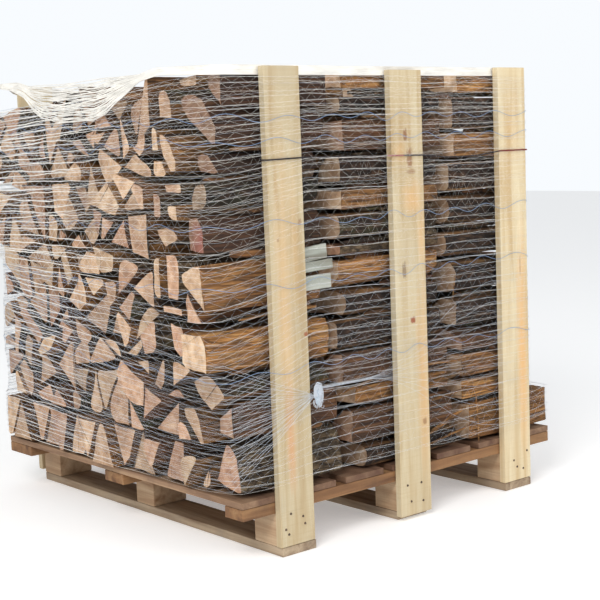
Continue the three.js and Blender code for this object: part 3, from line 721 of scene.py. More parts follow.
def uprights():
    """The boards up the front and back, each with its own knots and streaks."""
    for index, node in enumerate(sorted(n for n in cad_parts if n.startswith("upright"))):
        low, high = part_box(node)
        marks = UPRIGHT_MARKS.get(node, HIDDEN_MARKS)

        def in_scene(spots):
            placed = []
            for (x, z), (width, height), tint, strength in spots:
                centre = (low.x + x * MM, (low.y + high.y) / 2, z * MM)
                placed.append((centre, (width * MM, FACE_DEPTH, height * MM), tint, strength))
            return placed

        pine = [tuple(channel * PINE_LIGHT.get(node, 1) for channel in colour) for colour in PINE]
        knots, streaks_and_shade = in_scene(marks["knots"]), in_scene(marks["streaks_and_shade"])
        wood = sawn_look("pine_" + node, 2, *pine, marks=1.0, knots=knots, streaks_and_shade=streaks_and_shade, rough=0.66)
        sawn_board(node, wood, "upright", index + UPRIGHT_SEED, 1.5, 0.5)


# The kind of each log in the front columns, from the foot up. The darkest kinds high in the left row are
# painted shade: those logs are made very dark for the shadow they lie in.
LOG_KINDS = {
    "left": "grey red moss bright tan shade black shade shade shade",
    "middle": "dark brown tan brown dark dark bright grey moss tan dark brown dark tan",
    "right": "tan bright tan brown dark dark dark dark dark tan dark bright",
}
INNER_LIGHT = (0.45, 1.0)
LOOK_SEED = 77
TONE_SCATTER = 0.14
SPLIT, BARK, SAWN_END, WEATHERED = range(4)
# Each kind's front face, with its lightness, warmth and age. The near-zero lightness of the two darkest
# kinds is painted shade.
KIND_TONES = {
    "grey": ("bark", (0.75, 0.95, 0.3)),
    "dark": ("bark", (0.25, 0.15, 0.4)),
    "shade": ("split", (0.08, 0.95, 0.5)),
    "black": ("bark", (0.0, 0.1, 0.75)),
    "moss": ("bark", (0.45, 0.35, 0.95)),
    "brown": ("split", (0.3, 0.75, 0.5)),
    "red": ("split", (0.35, 0.9, 0.5)),
    "tan": ("split", (0.72, 0.25, 0.5)),
    "bright": ("split", (0.95, 0.05, 0.5)),
}


def sides_facing(outline, direction, least=0.45):
    """The numbers of the outline's sides whose outward face looks in one direction."""
    chosen = set()
    for index, (a, b) in enumerate(pairs(outline)):
        length = math.hypot(b[0] - a[0], b[1] - a[1])
        facing = ((b[1] - a[1]) * direction[0] - (b[0] - a[0]) * direction[1]) / length
        if facing > least * math.hypot(*direction):
            chosen.add(index)
    return chosen


# How a log is cut up: the length of the pieces round it, the cuts along it, the corners' segments
FINE_CUTS = (0.008, 38, 4)
PLAIN_CUTS = (0.018, 9, 3)
BARK_CORNER = 0.034
WORN_CORNER = 0.0018


def log_mesh(log, bark, tone, fine, draw):
    """One log as a bmesh: its outline with rounded bark corners, drawn out along X, then roughened."""
    outline = log["outline"]
    count = len(outline)
    made = bmesh.new()
    corners = [made.verts.new(spot(log["low"], y, z)) for y, z in outline]
    made.faces.new(corners)
    made.normal_update()
    shortest = min((corners[i].co - corners[(i + 1) % count].co).length for i in range(count))
    rounded = [corners[i] for i in range(count) if i in bark or (i - 1) % count in bark]
    worn = [corner for corner in corners if corner not in rounded]
    edge_length, cuts_along, segments = FINE_CUTS if fine else PLAIN_CUTS
    corner_settings = {"profile": 0.5, "affect": "VERTICES", "material": -1}
    if rounded:
        reach = min(0.44 * shortest, BARK_CORNER)
        bmesh.ops.bevel(made, geom=rounded, offset=reach, segments=segments, **corner_settings)
    if worn:
        bmesh.ops.bevel(made, geom=worn, offset=WORN_CORNER, segments=1, **corner_settings)
    for edge in list(made.edges):
        cuts = int(edge.calc_length() / edge_length)
        if cuts:
            bmesh.ops.subdivide_edges(made, edges=[edge], cuts=cuts)
    made.faces.ensure_lookup_table()
    section = made.faces[0]
    drawn = bmesh.ops.extrude_face_region(made, geom=[section], use_keep_orig=True)
    far = [item for item in drawn["geom"] if isinstance(item, bmesh.types.BMVert)]
    length = (log["high"] - log["low"]) * MM
    bmesh.ops.translate(made, vec=(length, 0, 0), verts=far)
    runs = [e for e in made.edges if abs(e.verts[0].co.x - e.verts[1].co.x) > length * 0.5]
    bmesh.ops.subdivide_edges(made, edges=runs, cuts=cuts_along, use_grid_fill=True)
    bmesh.ops.recalc_face_normals(made, faces=made.faces)
    roughen(made, log, bark, fine, draw)
    mark_faces(made, log, bark, tone, draw)
    return made


def distance_to_side(point, a, b):
    """How far a point of the section lies from the stretch between two corners."""
    along = (b[0] - a[0], b[1] - a[1])
    share = ((point[0] - a[0]) * along[0] + (point[1] - a[1]) * along[1]) / (along[0] ** 2 + along[1] ** 2)
    share = min(1, max(0, share))
    return math.hypot(point[0] - a[0] - share * along[0], point[1] - a[1] - share * along[1])


def nearest_side(outline, point):
    """The number of the outline's side that a point of the section lies closest to."""
    reaches = [distance_to_side(point, a, b) for a, b in pairs(outline)]
    return reaches.index(min(reaches))


def section_point(place):
    """The [y, z] of a scene point in the pallet's millimetres."""
    return (place.y / MM - SHIFT.y, place.z / MM)


END_TILT = 0.1
WORN_LENGTH = 6
WORN_DEPTH = 1.6


def roughen(made, log, bark, fine, draw):
    """Sinks the surface in from the outline: ridged on bark, in long fibres on a split side."""
    made.normal_update()
    start, end = spot(log["low"], 0, 0).x, spot(log["high"], 0, 0).x
    push = draw() * 40
    tilt = [spread(END_TILT, draw), spread(END_TILT, draw)]
    centre = spot(0, *log["centre"])
    for vert in made.verts:
        place = vert.co.copy()
        across = Vector((0, vert.normal.y, vert.normal.z))
        if nearest_side(log["outline"], section_point(place)) in bark:
            furrow = abs(noise.noise(Vector((place.x * 16 + push, place.y * 75, place.z * 75))))
            lumps = noise.noise(Vector((place.x * 24, place.y * 34 + push, place.z * 34)))
            sink = 2.6 - 3.6 * furrow + 1.8 * lumps
        else:
            wave = noise.noise(Vector((place.x * 4 + push, place.y * 17, place.z * 17)))
            splits = abs(noise.noise(Vector((place.x * 7, place.y * 60 + push, place.z * 60))))
            fibre = noise.noise(Vector((place.x * 13, place.y * 190 + push, place.z * 190)))
            sink = 2.6 + 3.4 * wave - 1.6 * splits + (1.1 * fibre if fine else 0)
        from_end = min(place.x - start, end - place.x) / MM
        if from_end < WORN_LENGTH:
            sink += WORN_DEPTH * (1 - from_end / WORN_LENGTH)
        if across.length > 1e-6:
            vert.co -= across.normalized() * max(0.0, sink) * MM
        if from_end < 0.01:
            inward = 1 if place.x < (start + end) / 2 else -1
            offset = abs((place.y - centre.y) * tilt[0] + (place.z - centre.z) * tilt[1])
            vert.co.x += inward * (offset + 0.0007 * (1 + noise.noise(place * 130)))


PITH_DEPTH = (60, 110)


def mark_faces(made, log, bark, tone, draw):
    """Gives each face its material, and each log its tone and the place of its pith."""
    outline = log["outline"]
    grain = made.loops.layers.uv.new("grain")
    tones = made.verts.layers.float_color.new("tone")
    centre = log["centre"]
    bearing = draw() * 2 * math.pi
    depth = between(PITH_DEPTH, draw)
    if bark:
        facing = [pairs(outline)[side] for side in sorted(bark)]
        out_y = sum(b[1] - a[1] for a, b in facing)
        out_z = sum(a[0] - b[0] for a, b in facing)
        bearing = math.atan2(-out_z, -out_y)
    pith = (centre[0] + depth * math.cos(bearing), centre[1] + depth * math.sin(bearing))
    for vert in made.verts:
        vert[tones] = (*tone, 1)
    for face in made.faces:
        on_end = abs(face.normal.x) > 0.7
        centre_point = section_point(face.calc_center_median())
        barked = not on_end and nearest_side(outline, centre_point) in bark
        face.material_index = SAWN_END if on_end else (BARK if barked else SPLIT)
        face.smooth = not on_end
        for loop in face.loops:
            y, z = section_point(loop.vert.co)
            loop[grain].uv = ((y - pith[0]) * MM, (z - pith[1]) * MM)
    for edge in made.edges:
        if len(edge.link_faces) == 2:
            kinds = {abs(f.normal.x) > 0.7 for f in edge.link_faces}
            edge.smooth = len(kinds) == 1 and edge.calc_face_angle() < 0.6


def join_into(rest, made):
    """Moves one bmesh into another."""
    carrier = bpy.data.meshes.new("carrier")
    made.to_mesh(carrier)
    made.free()
    rest.from_mesh(carrier)
    bpy.data.meshes.remove(carrier)


def mark_plain(made, tone, material_index, smooth):
    """One material and one tone for the whole of a small piece."""
    grain = made.loops.layers.uv.new("grain")
    tones = made.verts.layers.float_color.new("tone")
    for vert in made.verts:
        vert[tones] = (*tone, 1)
    for face in made.faces:
        face.material_index = material_index
        face.smooth = smooth
        for loop in face.loops:
            loop[grain].uv = (0.05, 0.05)


def sliver(start, end, width, thickness, tone, material_index, draw):
    """A thin stick of split wood between two points in millimetres."""
    made = bmesh.new()
    bmesh.ops.create_cone(made, cap_ends=True, segments=6, radius1=0.5, radius2=0.5, depth=1)
    along = Vector(end) - Vector(start)
    middle_point = (Vector(start) + Vector(end)) / 2
    length = along.length
    sides = [e for e in made.edges if abs(e.verts[0].co.z - e.verts[1].co.z) > 0.5]
    bmesh.ops.subdivide_edges(made, edges=sides, cuts=max(4, int(length / 9)))
    push = draw() * 50
    turn = along.to_track_quat("Z", "Y").to_matrix()
    for vert in made.verts:
        share = vert.co.z + 0.5
        taper = 0.45 + 0.55 * min(1, 7 * min(share, 1 - share) + 0.2)
        ragged = 1 + 0.35 * noise.noise(Vector((share * length * 0.06, vert.co.x * 2 + push, vert.co.y * 2)))
        bow = 2.5 * noise.noise(Vector((share * 2.4, push, 1)))
        across, through = width * taper * ragged, thickness * taper * ragged
        local = Vector((vert.co.x * across + bow, vert.co.y * through, vert.co.z * length))
        vert.co = spot(*(middle_point + turn @ local))
    mark_plain(made, tone, material_index, True)
    return made


SLIVERS_PER_GAP = 3
SLIVER_DEPTH = -487
SHORTEST_SLIVER = 40


def gap_slivers(rest, logs, draw):
    """Slivers, bark strips and thin sticks that lie in the gaps of a front column."""
    column = sorted((log for log in logs if log["course"] >= 0), key=lambda log: log["centre"][1])
    for lower, upper in zip(column, column[1:]):
        level = (max(c[1] for c in lower["outline"]) + min(c[1] for c in upper["outline"])) / 2
        for _ in range(SLIVERS_PER_GAP):
            start = lower["low"] + 10 + 160 * draw()
            end = min(start + 90 + 190 * draw(), min(lower["high"], upper["high"]) - 4)
            depth = SLIVER_DEPTH + 34 * draw()
            size = (4 + 9 * draw(), 5 + 12 * draw())
            tone = (0.15 + 0.75 * draw(), draw(), draw())
            kind = BARK if draw() < 0.4 else SPLIT
            if end - start > SHORTEST_SLIVER:
                places = [(x, depth, level + spread(9, draw)) for x in (start, end)]
                join_into(rest, sliver(*places, *size, tone, kind, draw))


# Loose sticks in the right bay, each as two ends in [x, z], its width and its lightness.
LOOSE_STICKS = [
    ((70, 186), (199, 228), 15, 0.78),
    ((60, 158), (212, 180), 9, 0.7),
    ((237, 254), (248, 136), 5, 0.95),
    ((172, 552), (164, 484), 5, 0.9),
    ((58, 300), (206, 318), 17, 0.55),
    ((66, 352), (190, 346), 13, 0.6),
    ((-236, 317), (-107, 341), 10, 0.5),
    ((64, 262), (228, 276), 11, 0.45),
]
STICK_PLACE = -492
# Weathered offcuts beside the left board, each as the middles of its two ends in [x, z] and its width.
GREY_OFFCUTS = [
    ((-330, 637), (-239, 645), 33),
    ((-330, 611), (-223, 616), 23),
    ((-330, 577), (-229, 579), 33),
]
GREY_WOOD = (srgb(158, 162, 152), srgb(120, 118, 106), srgb(186, 188, 178), srgb(140, 134, 120))
OFFCUT_THICKNESS = 9
OFFCUT_EDGE = 1.2
OFFCUT_PLACE = -495.5


def loose_sticks(rest, draw):
    """The longer sticks and splinters that lie loose between the logs."""
    for start, end, width, lightness in LOOSE_STICKS:
        depth = STICK_PLACE - width / 6
        places = [(start[0], depth, start[1]), (end[0], depth + 4, end[1])]
        join_into(rest, sliver(*places, width, width * 0.5, (lightness, 0.15, 0.5), SPLIT, draw))


def grey_offcuts(rest):
    """Short weathered boards that stand edge to edge behind the left upright."""
    for number, (start, end, width) in enumerate(GREY_OFFCUTS):
        board = bmesh.new()
        bmesh.ops.create_cube(board, size=1)
        run = Vector((end[0] - start[0], 0, end[1] - start[1]))
        bmesh.ops.scale(board, vec=(run.length, OFFCUT_THICKNESS, width), verts=board.verts)
        along = [e for e in board.edges if abs(e.verts[0].co.x - e.verts[1].co.x) > run.length / 2]
        bmesh.ops.subdivide_edges(board, edges=along, cuts=14, use_grid_fill=True)
        sharp = [e for e in board.edges if e.calc_face_angle() > SHARP_ANGLE]
        settings = {"segments": 1, "profile": 0.5, "affect": "EDGES", "material": -1}
        bmesh.ops.bevel(board, geom=sharp, offset=OFFCUT_EDGE, **settings)
        turn = Matrix.Rotation(math.atan2(-run.z, run.x), 4, "Y")
        centre = Vector(((start[0] + end[0]) / 2, OFFCUT_PLACE, (start[1] + end[1]) / 2))
        for vert in board.verts:
            worn = 1 - 0.05 * (1 + noise.noise(Vector((vert.co.x * 0.12, vert.co.z * 0.2, number * 7))))
            vert.co.z *= worn
            vert.co = spot(*(centre + turn @ vert.co))
        mark_plain(board, (1, 1, 0), WEATHERED, False)
        join_into(rest, board)


def load_of_logs(all_logs):
    """The front logs as pieces of their own, and the others of each row joined in one."""
    grey_wood = sawn_look("weathered_board", 0, *GREY_WOOD)
    looks = [split_face_look(), bark_look(), end_grain_look(), grey_wood]
    for row, logs in zip(ROWS, all_logs):
        draw = random_from(row["seed"] + LOOK_SEED)
        rest = bmesh.new()
        number = 0
        for log in logs:
            outline = log["outline"]
            in_front = log["course"] >= 0
            if in_front:
                # The tones of the darkest kinds are painted shade for front logs that lie in shadow
                kind, tone = KIND_TONES[LOG_KINDS[row["name"]].split()[log["course"]]]
                tone = tuple(min(1, max(0, value + spread(TONE_SCATTER, draw))) for value in tone)
                bark = sides_facing(outline, (-1, 0.25)) if kind == "bark" else set()
            else:
                tone = (between(INNER_LIGHT, draw), draw(), draw())
                bearing = 2 * math.pi * draw()
                bark = sides_facing(outline, (math.cos(bearing), math.sin(bearing)), 0.7)
            made = log_mesh(log, bark, tone, in_front, draw)
            if in_front and log["course"] not in row["joined"]:
                number += 1
                node = f"log_{row['name']}_front_{number:02d}"
                piece_from(made, "seen_" + node, looks, "log", node)
            else:
                join_into(rest, made)
        gap_slivers(rest, logs, draw)
        if row["name"] == "right":
            loose_sticks(rest, draw)
        if row["name"] == "left":
            grey_offcuts(rest)
        piece_from(rest, f"seen_log_row_{row['name']}", looks, "log_row", f"log_row_{row['name']}")


# The nails in each upright's foot, across and up the board
NAILS = {
    "upright_front_left": [(29, 91), (63, 79), (68, 62), (14, 59), (22, 47)],
    "upright_front_middle": [(22, 83), (67, 82), (33, 43), (72, 38)],
    "upright_front_right": [(34, 73), (84, 90), (46, 55), (69, 47)],
}
NAIL_RADIUS = 3.0
NAIL_RIM = 2.4
NAIL_THICKNESS = 1.6
NAIL_LIFT = 0.2


def nails():
    """The nail heads in the feet of the front uprights."""
    look = Look("nail_steel", 0.5)
    rust = look.clouds(look.place((200, 200, 200)), 1.5, 4)
    look.shader.inputs["Metallic"].default_value = 0.6
    steel = look.finish(look.ramp(rust, shades((0.35, 44, 38, 36), (0.65, 108, 88, 74))), rust, 0.0005)
    made = bmesh.new()
    turn = Matrix.Rotation(math.pi / 2, 4, "X")
    radii = {"radius1": NAIL_RADIUS * MM, "radius2": NAIL_RIM * MM}
    size = {"segments": 14, "depth": NAIL_THICKNESS * MM, **radii}
    for node, places in NAILS.items():
        low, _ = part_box(node)
        for x, z in places:
            move = Matrix.Translation((low.x + x * MM, low.y - NAIL_LIFT * MM, z * MM))
            bmesh.ops.create_cone(made, cap_ends=True, matrix=move @ turn, **size)
    piece_from(made, "nail_heads", [steel], "upright")


# Twine and net


LOOP_STEPS = 200
NET_FOOT, NET_TOP = 132, 1062
NET_LIFT = 4.0
NET_BAND = 22
# Below and above these heights the net keeps the reach that it has there.
NET_EVEN_BELOW, NET_EVEN_ABOVE = 160, 1010
STRANDS = 118
NET_SEED = 515

# Bearings round the load, seen from above
FAR_CORNER_ANGLE = math.radians(137)
NEAR_CORNER_ANGLE = math.radians(223)
KNOT_ANGLE = math.radians(239.5)
ROPE_END_ANGLE = math.radians(254)
FRONT_END_ANGLE = math.radians(300)
FRONT_TURN_ANGLE = math.radians(330)

# Where strands crowd together: the share of strands below, against height, at three stations.
FAR_STOPS = [(0, 152), (0.1, 240), (0.36, 480), (0.6, 690), (0.8, 860), (1, 985)]
NEAR_STOPS = [
    (0, 150), (0.08, 205), (0.15, 262), (0.27, 350),
    (0.47, 560), (0.62, 735), (0.8, 880), (1, 1020),
]
FRONT_STOPS = [
    (0, 158), (0.08, 250), (0.17, 352), (0.28, 440),
    (0.47, 610), (0.62, 772), (0.8, 902), (1, 1022),
]
BUNDLES = 52

# How thick a thread is drawn: on the left side, on the front, and on the front over a board.
STRAND_WEIGHTS = (1.45, 0.17, 0.1)
SECOND_WEIGHTS = (0.9, 0.19, 0.1)
ZIGZAG_WEIGHTS = (0.9, 0.3, 0.18)
GATHERED_WEIGHTS = (0.7, 0.28, 0.22)
RIM_WEIGHTS = (1.0, 0.9, 0.9)
FAR_SIDES_WEIGHT = 0.6
# Strands are thinner from this height down, over this much height.
LOW_STRANDS = (300, 250)

# The top and the foot of the gathered rim along the left side, from its far corner to its near one
RIM_STOPS = [
    (0, 1054), (0.14, 1051), (0.2, 1040), (0.39, 1034),
    (0.66, 1037), (0.79, 1035), (0.85, 1046), (1, 1041),
]
SWOOP_STOPS = [
    (0, 1046), (0.1, 1034), (0.17, 1012), (0.22, 978), (0.27, 958), (0.38, 946),
    (0.59, 944), (0.65, 960), (0.72, 990), (0.79, 1021), (0.86, 1031), (1, 1022),
]
RIM_TOP, RIM_FOOT = 1041, 1022
RIM_FRONT = -498.4
RIM_THREADS = 48

GATHERED = 24
GATHERED_HEIGHTS = (150, 440)
GATHERED_LIFT = NET_LIFT + 0.6
GATHERED_STEPS = 69
TURN_SCATTER = math.radians(0.18)
ROPE_STRANDS = 8
ROPE_STEPS = 39
ROPE_RISE = 14
WAVY_HEIGHTS = (932, 884, 712, 584, 402)
KNOT_PLACE = (-303, -527, 338)
KNOT_FRONT = -531.5
KNOT_THREADS = 140
KNOT_STEPS = 17


def net_supports(all_logs):
    """The points that the net is stretched over, each with the heights that it stands for."""
    points = []
    for log in (log for logs in all_logs for log in logs):
        heights = [corner[1] for corner in log["outline"]]
        for y, _ in log["outline"]:
            points += [(x, y, min(heights), max(heights)) for x in (log["low"], log["high"])]
    for side, boards in UPRIGHT_SPANS.items():
        y = -BED_HALF - UPRIGHT_THICKNESS if side == "front" else BED_HALF + UPRIGHT_THICKNESS
        for left, width, foot, top in boards:
            points += [(x, y, foot, top) for x in (left, left + width)]
    return points


def hull(points):
    """The convex outline round points in plan, counterclockwise."""
    def half(ordered):
        chain = []
        for point in ordered:
            while len(chain) > 1:
                (ax, ay), (bx, by) = chain[-2:]
                if (bx - ax) * (point[1] - by) - (by - ay) * (point[0] - bx) > 0:
                    break
                chain.pop()
            chain.append(point)
        return chain[:-1]

    ordered = sorted(set(points))
    return half(ordered) + half(ordered[::-1])


class Girdle:
    """How far out the net lies at each bearing and height."""

    LEVELS = 46
    BEARINGS = 240

    def __init__(self, supports):
        self.rings = []
        for level in range(self.LEVELS):
            height = NET_FOOT + (NET_TOP - NET_FOOT) * level / (self.LEVELS - 1)
            bottom = min(height, NET_EVEN_ABOVE) - NET_BAND
            top = max(height, NET_EVEN_BELOW) + NET_BAND
            near = [(x, y) for x, y, low, high in supports if high >= bottom and low <= top]
            self.rings.append(self.ring(hull(near)))

    def ring(self, outline):
        """The distance out to an outline at each bearing."""
        reaches = []
        for index in range(self.BEARINGS):
            angle = 2 * math.pi * index / self.BEARINGS
            ahead = (math.cos(angle), math.sin(angle))
            reach = 0
            for (ax, ay), (bx, by) in pairs(outline):
                slope = ahead[0] * (by - ay) - ahead[1] * (bx - ax)
                if abs(slope) < 1e-9:
                    continue
                out = (ax * (by - ay) - ay * (bx - ax)) / slope
                along = (ax * ahead[1] - ay * ahead[0]) / slope
                if -1e-6 <= along <= 1 + 1e-6 and out > reach:
                    reach = out
            reaches.append(reach)
        return reaches

    def point(self, angle, height, lift=NET_LIFT):
        """A point of the net, lifted off what it lies on."""
        turns = (angle / (2 * math.pi)) % 1 * self.BEARINGS
        share = min(max((height - NET_FOOT) / (NET_TOP - NET_FOOT), 0), 1)
        level = share * (self.LEVELS - 1)
        index, step = int(turns) % self.BEARINGS, int(min(level, self.LEVELS - 2))
        near, rise = turns - int(turns), level - step

        def across(ring):
            return ring[index] * (1 - near) + ring[(index + 1) % self.BEARINGS] * near

        reach = across(self.rings[step]) * (1 - rise) + across(self.rings[step + 1]) * rise + lift
        return spot(reach * math.cos(angle), reach * math.sin(angle), height)


def ease(value):
    """Runs from 0 to 1 with a slow start and a slow end."""
    value = min(1, max(0, value))
    return value * value * (3 - 2 * value)


def line_height(share, stops):
    """The height at a share of the way along a line of stops."""
    for (s0, z0), (s1, z1) in zip(stops, stops[1:]):
        if share <= s1:
            return z0 + (z1 - z0) * (share - s0) / (s1 - s0)
    return stops[-1][1]


def strand_height(share, angle, seed):
    """How high one strand runs at a bearing; shares go from 0 at the foot to 1 at the rim."""
    bearing = angle % (2 * math.pi)
    far = line_height(share, FAR_STOPS)
    near = line_height(share, NEAR_STOPS)
    bundle = (math.floor(share * BUNDLES) + 0.5) / BUNDLES
    front = line_height(bundle + 0.12 * (share - bundle), FRONT_STOPS)
    right_corner = -math.pi / 4
    if FAR_CORNER_ANGLE <= bearing < NEAR_CORNER_ANGLE:
        along = (bearing - FAR_CORNER_ANGLE) / (NEAR_CORNER_ANGLE - FAR_CORNER_ANGLE)
        height = far + (near - far) * along
    elif NEAR_CORNER_ANGLE <= bearing < FRONT_END_ANGLE:
        along = (bearing - NEAR_CORNER_ANGLE) / (KNOT_ANGLE - NEAR_CORNER_ANGLE)
        height = near + (front - near) * min(1, along)
    else:
        wrapped = bearing if bearing < FAR_CORNER_ANGLE else bearing - 2 * math.pi
        along = (wrapped - right_corner) / (FAR_CORNER_ANGLE - right_corner)
        height = front + (far - front) * ease(along)
    wander = noise.noise(Vector((math.cos(angle) * 2.2, math.sin(angle) * 2.2, seed * 1.7)))
    ripple = noise.noise(Vector((math.cos(angle) * 9, math.sin(angle) * 9, seed * 3.1)))
    return height + 9 * wander + 3 * ripple


def thickness_at(place, weights):
    """Threads lie loose on the left, and are drawn out thin round the near corner and the front."""
    on_left, on_front, on_board = weights
    x, y, z = place.x / MM - SHIFT.x, place.y / MM - SHIFT.y, place.z / MM
    bearing = math.atan2(y, x) % (2 * math.pi)
    if bearing < FAR_CORNER_ANGLE or bearing > FRONT_TURN_ANGLE:
        return FAR_SIDES_WEIGHT
    if bearing < NEAR_CORNER_ANGLE:
        along = (bearing - FAR_CORNER_ANGLE) / (NEAR_CORNER_ANGLE - FAR_CORNER_ANGLE)
        start = FAR_SIDES_WEIGHT + (on_left - FAR_SIDES_WEIGHT) * ease(along * 8)
        low = 0.6 + 0.4 * ease((z - LOW_STRANDS[0]) / LOW_STRANDS[1])
        return low * (start + (1.2 * on_front - start) * ease(along * 1.1))
    over_board = any(left - 4 < x < left + width + 4 for left, width, _, _ in UPRIGHT_SPANS["front"])
    return on_board if over_board else on_front


def thread_piece(name, runs, radius, material, closed=False, weights=None):
    """Round threads along runs of points, as one mesh, even in thickness where no weights are given."""
    curve = bpy.data.curves.new(name, "CURVE")
    curve.dimensions = "3D"
    curve.bevel_depth = radius * MM
    curve.bevel_resolution = 0
    for run in runs:
        line = curve.splines.new("POLY")
        line.points.add(len(run) - 1)
        for point, place in zip(line.points, run):
            point.co = (*place, 1)
            point.radius = thickness_at(place, weights) if weights else 1
        line.use_cyclic_u = closed
    carrier = bpy.data.objects.new("carrier", curve)
    mesh = bpy.data.meshes.new_from_object(carrier)
    bpy.data.objects.remove(carrier)
    bpy.data.curves.remove(curve)
    mesh.materials.clear()
    mesh.materials.append(material)
    for face in mesh.polygons:
        face.use_smooth = True
    made = bpy.data.objects.new(name, mesh)
    bpy.context.scene.collection.objects.link(made)
    return made


def strand_runs(girdle, shares):
    """Closed strands round the load, one for each share."""
    angles = [2 * math.pi * step / LOOP_STEPS for step in range(LOOP_STEPS)]
    return [[girdle.point(a, strand_height(share, a, number)) for a in angles] for number, share in shares]


def zigzag_runs(girdle, shares, step_length):
    """Fine threads that cross back and forth between each strand and the next above."""
    runs = []
    for (number, share), (following, above) in zip(shares, shares[1:]):
        run, angle, upper = [], 0.0, False
        while angle < 2 * math.pi:
            height = strand_height(above, angle, following) if upper else strand_height(share, angle, number)
            place = girdle.point(angle, height)
            run.append(place)
            reach = math.hypot(place.x, place.y) / MM
            angle += step_length / reach * (0.75 + 0.5 * noise.cell(Vector((angle * 40, number, 0))))
            upper = not upper
        runs.append(run)
    return runs


def gathered_runs(girdle, draw):
    """Strands that leave their level at the near corner and run up to the knot, and those past it."""
    runs = []
    low, high = GATHERED_HEIGHTS
    for number in range(GATHERED):
        own = low + (high - low) * (number + draw() * 0.6) / GATHERED
        run = []
        for step in range(GATHERED_STEPS + 1):
            angle = FAR_CORNER_ANGLE + (KNOT_ANGLE - FAR_CORNER_ANGLE) * step / GATHERED_STEPS
            turning = NEAR_CORNER_ANGLE - TURN_SCATTER * draw()
            if angle < turning:
                left = 1 - (angle - FAR_CORNER_ANGLE) / (turning - FAR_CORNER_ANGLE)
                height = own + (30 + 0.25 * own) * left
            else:
                share = (angle - turning) / (KNOT_ANGLE - turning)
                height = own + (KNOT_PLACE[2] - own) * share ** 0.9
            height += 5 * noise.noise(Vector((angle * 7, number * 2.3, 0)))
            run.append(girdle.point(angle, height, GATHERED_LIFT))
        runs.append(run)
    for number in range(ROPE_STRANDS):
        run = []
        apart = number - (ROPE_STRANDS - 1) / 2
        for step in range(ROPE_STEPS + 1):
            angle = KNOT_ANGLE + (FRONT_END_ANGLE + 0.3 - KNOT_ANGLE) * step / ROPE_STEPS
            away = ease((angle - ROPE_END_ANGLE) / (FRONT_END_ANGLE - ROPE_END_ANGLE))
            wander = 4 * noise.noise(Vector((angle * 9, number, 4)))
            height = KNOT_PLACE[2] + ROPE_RISE + apart * (0.7 + 50 * away) + (0.4 + away) * wander
            run.append(girdle.point(angle, max(low, height), GATHERED_LIFT))
        runs.append(run)
    return runs


def rim_height(angle, share):
    """The gathered top edge: a thin hem, but a thick sagging bundle along the left side."""
    bearing = angle % (2 * math.pi)
    along = (bearing - FAR_CORNER_ANGLE) / (NEAR_CORNER_ANGLE - FAR_CORNER_ANGLE)
    if 0 <= along <= 1:
        top, foot = line_height(along, RIM_STOPS), line_height(along, SWOOP_STOPS)
    else:
        top, foot = RIM_TOP, RIM_FOOT
        if bearing < FAR_CORNER_ANGLE:
            near = ease((bearing - FAR_CORNER_ANGLE + 0.25) / 0.25)
            top, foot = top + 11 * near, foot + 24 * near
    return foot + (top - foot) * share


def rim_runs(girdle):
    """The threads of the rim, which pass behind the front uprights."""
    runs = []
    for number in range(RIM_THREADS):
        run = []
        for step in range(LOOP_STEPS):
            angle = 2 * math.pi * step / LOOP_STEPS
            wander = noise.noise(Vector((math.cos(angle) * 4, math.sin(angle) * 4, number * 0.9)))
            share = min(1, max(0, (number + 0.5) / RIM_THREADS + 0.1 * wander))
            lift = NET_LIFT + 2.2 * noise.noise(Vector((angle * 3, number * 1.3, 7)))
            place = girdle.point(angle, rim_height(angle, share), lift)
            behind_boards = spot(0, RIM_FRONT, 0).y + 0.4 * lift * MM
            place.y = max(place.y, behind_boards)
            run.append(place)
        runs.append(run)
    return runs


def wavy_runs(girdle):
    """Loose blue threads that wave up and down as they go round."""
    runs = []
    for number, level in enumerate(WAVY_HEIGHTS):
        run = []
        for step in range(LOOP_STEPS * 2):
            angle = math.pi * step / LOOP_STEPS
            wave = 7 * math.sin(angle * 34 + number) + 9 * noise.noise(Vector((angle * 6, number * 5.1, 2)))
            run.append(girdle.point(angle, level + wave, NET_LIFT + 0.9))
        runs.append(run)
    return runs


def knot_mesh(material):
    """The end of the net, gathered and tied in a loose lump."""
    lump = bmesh.new()
    bmesh.ops.create_icosphere(lump, subdivisions=4, radius=1)
    centre = spot(*KNOT_PLACE)
    for vert in lump.verts:
        fold = noise.noise(vert.co * 2.3) * 0.28 + noise.noise(vert.co * 6.1) * 0.14
        reach = Vector((7 - 3 * vert.co.z, 4, 20)) * (1 + fold)
        vert.co = centre + Vector([c * r * MM for c, r in zip(vert.co, reach)])
    for face in lump.faces:
        face.smooth = True
    return piece_from(lump, "net_knot", [material], "net")


def knot_threads(draw):
    """Loose threads wound round the knot and hanging from it."""
    runs = []
    for number in range(KNOT_THREADS):
        turn, sweep, tilt = draw() * 2 * math.pi, between((1.8, 4.2), draw), spread(1.1, draw)
        drop = draw() * draw()
        centre = (KNOT_PLACE[0] + spread(9 + 9 * drop, draw), KNOT_PLACE[2] + 16 - 44 * drop)
        width, tall, bulge = between((3, 8), draw), between((6, 15), draw), between((1, 5), draw)
        run = []
        for step in range(KNOT_STEPS + 1):
            angle = turn + step / KNOT_STEPS * sweep
            x, z = width * math.cos(angle), tall * math.sin(angle)
            place = (
                centre[0] + x * math.cos(tilt) - z * math.sin(tilt),
                max(KNOT_FRONT, KNOT_PLACE[1] - bulge * abs(math.cos(angle * 0.5))),
                centre[1] + x * math.sin(tilt) + z * math.cos(tilt),
            )
            run.append(spot(*place))
        runs.append(run)
    return runs


def net_look(name, colour):
    look = Look(name, 0.45)
    shade = look.clouds(look.place((14, 14, 60)), 1.2, 3)
    look.shader.inputs["Specular IOR Level"].default_value = 0.35
    return look.finish(look.mix(look.fade(shade, 0.35, 0.65), colour, tuple(c * 0.82 for c in colour)))


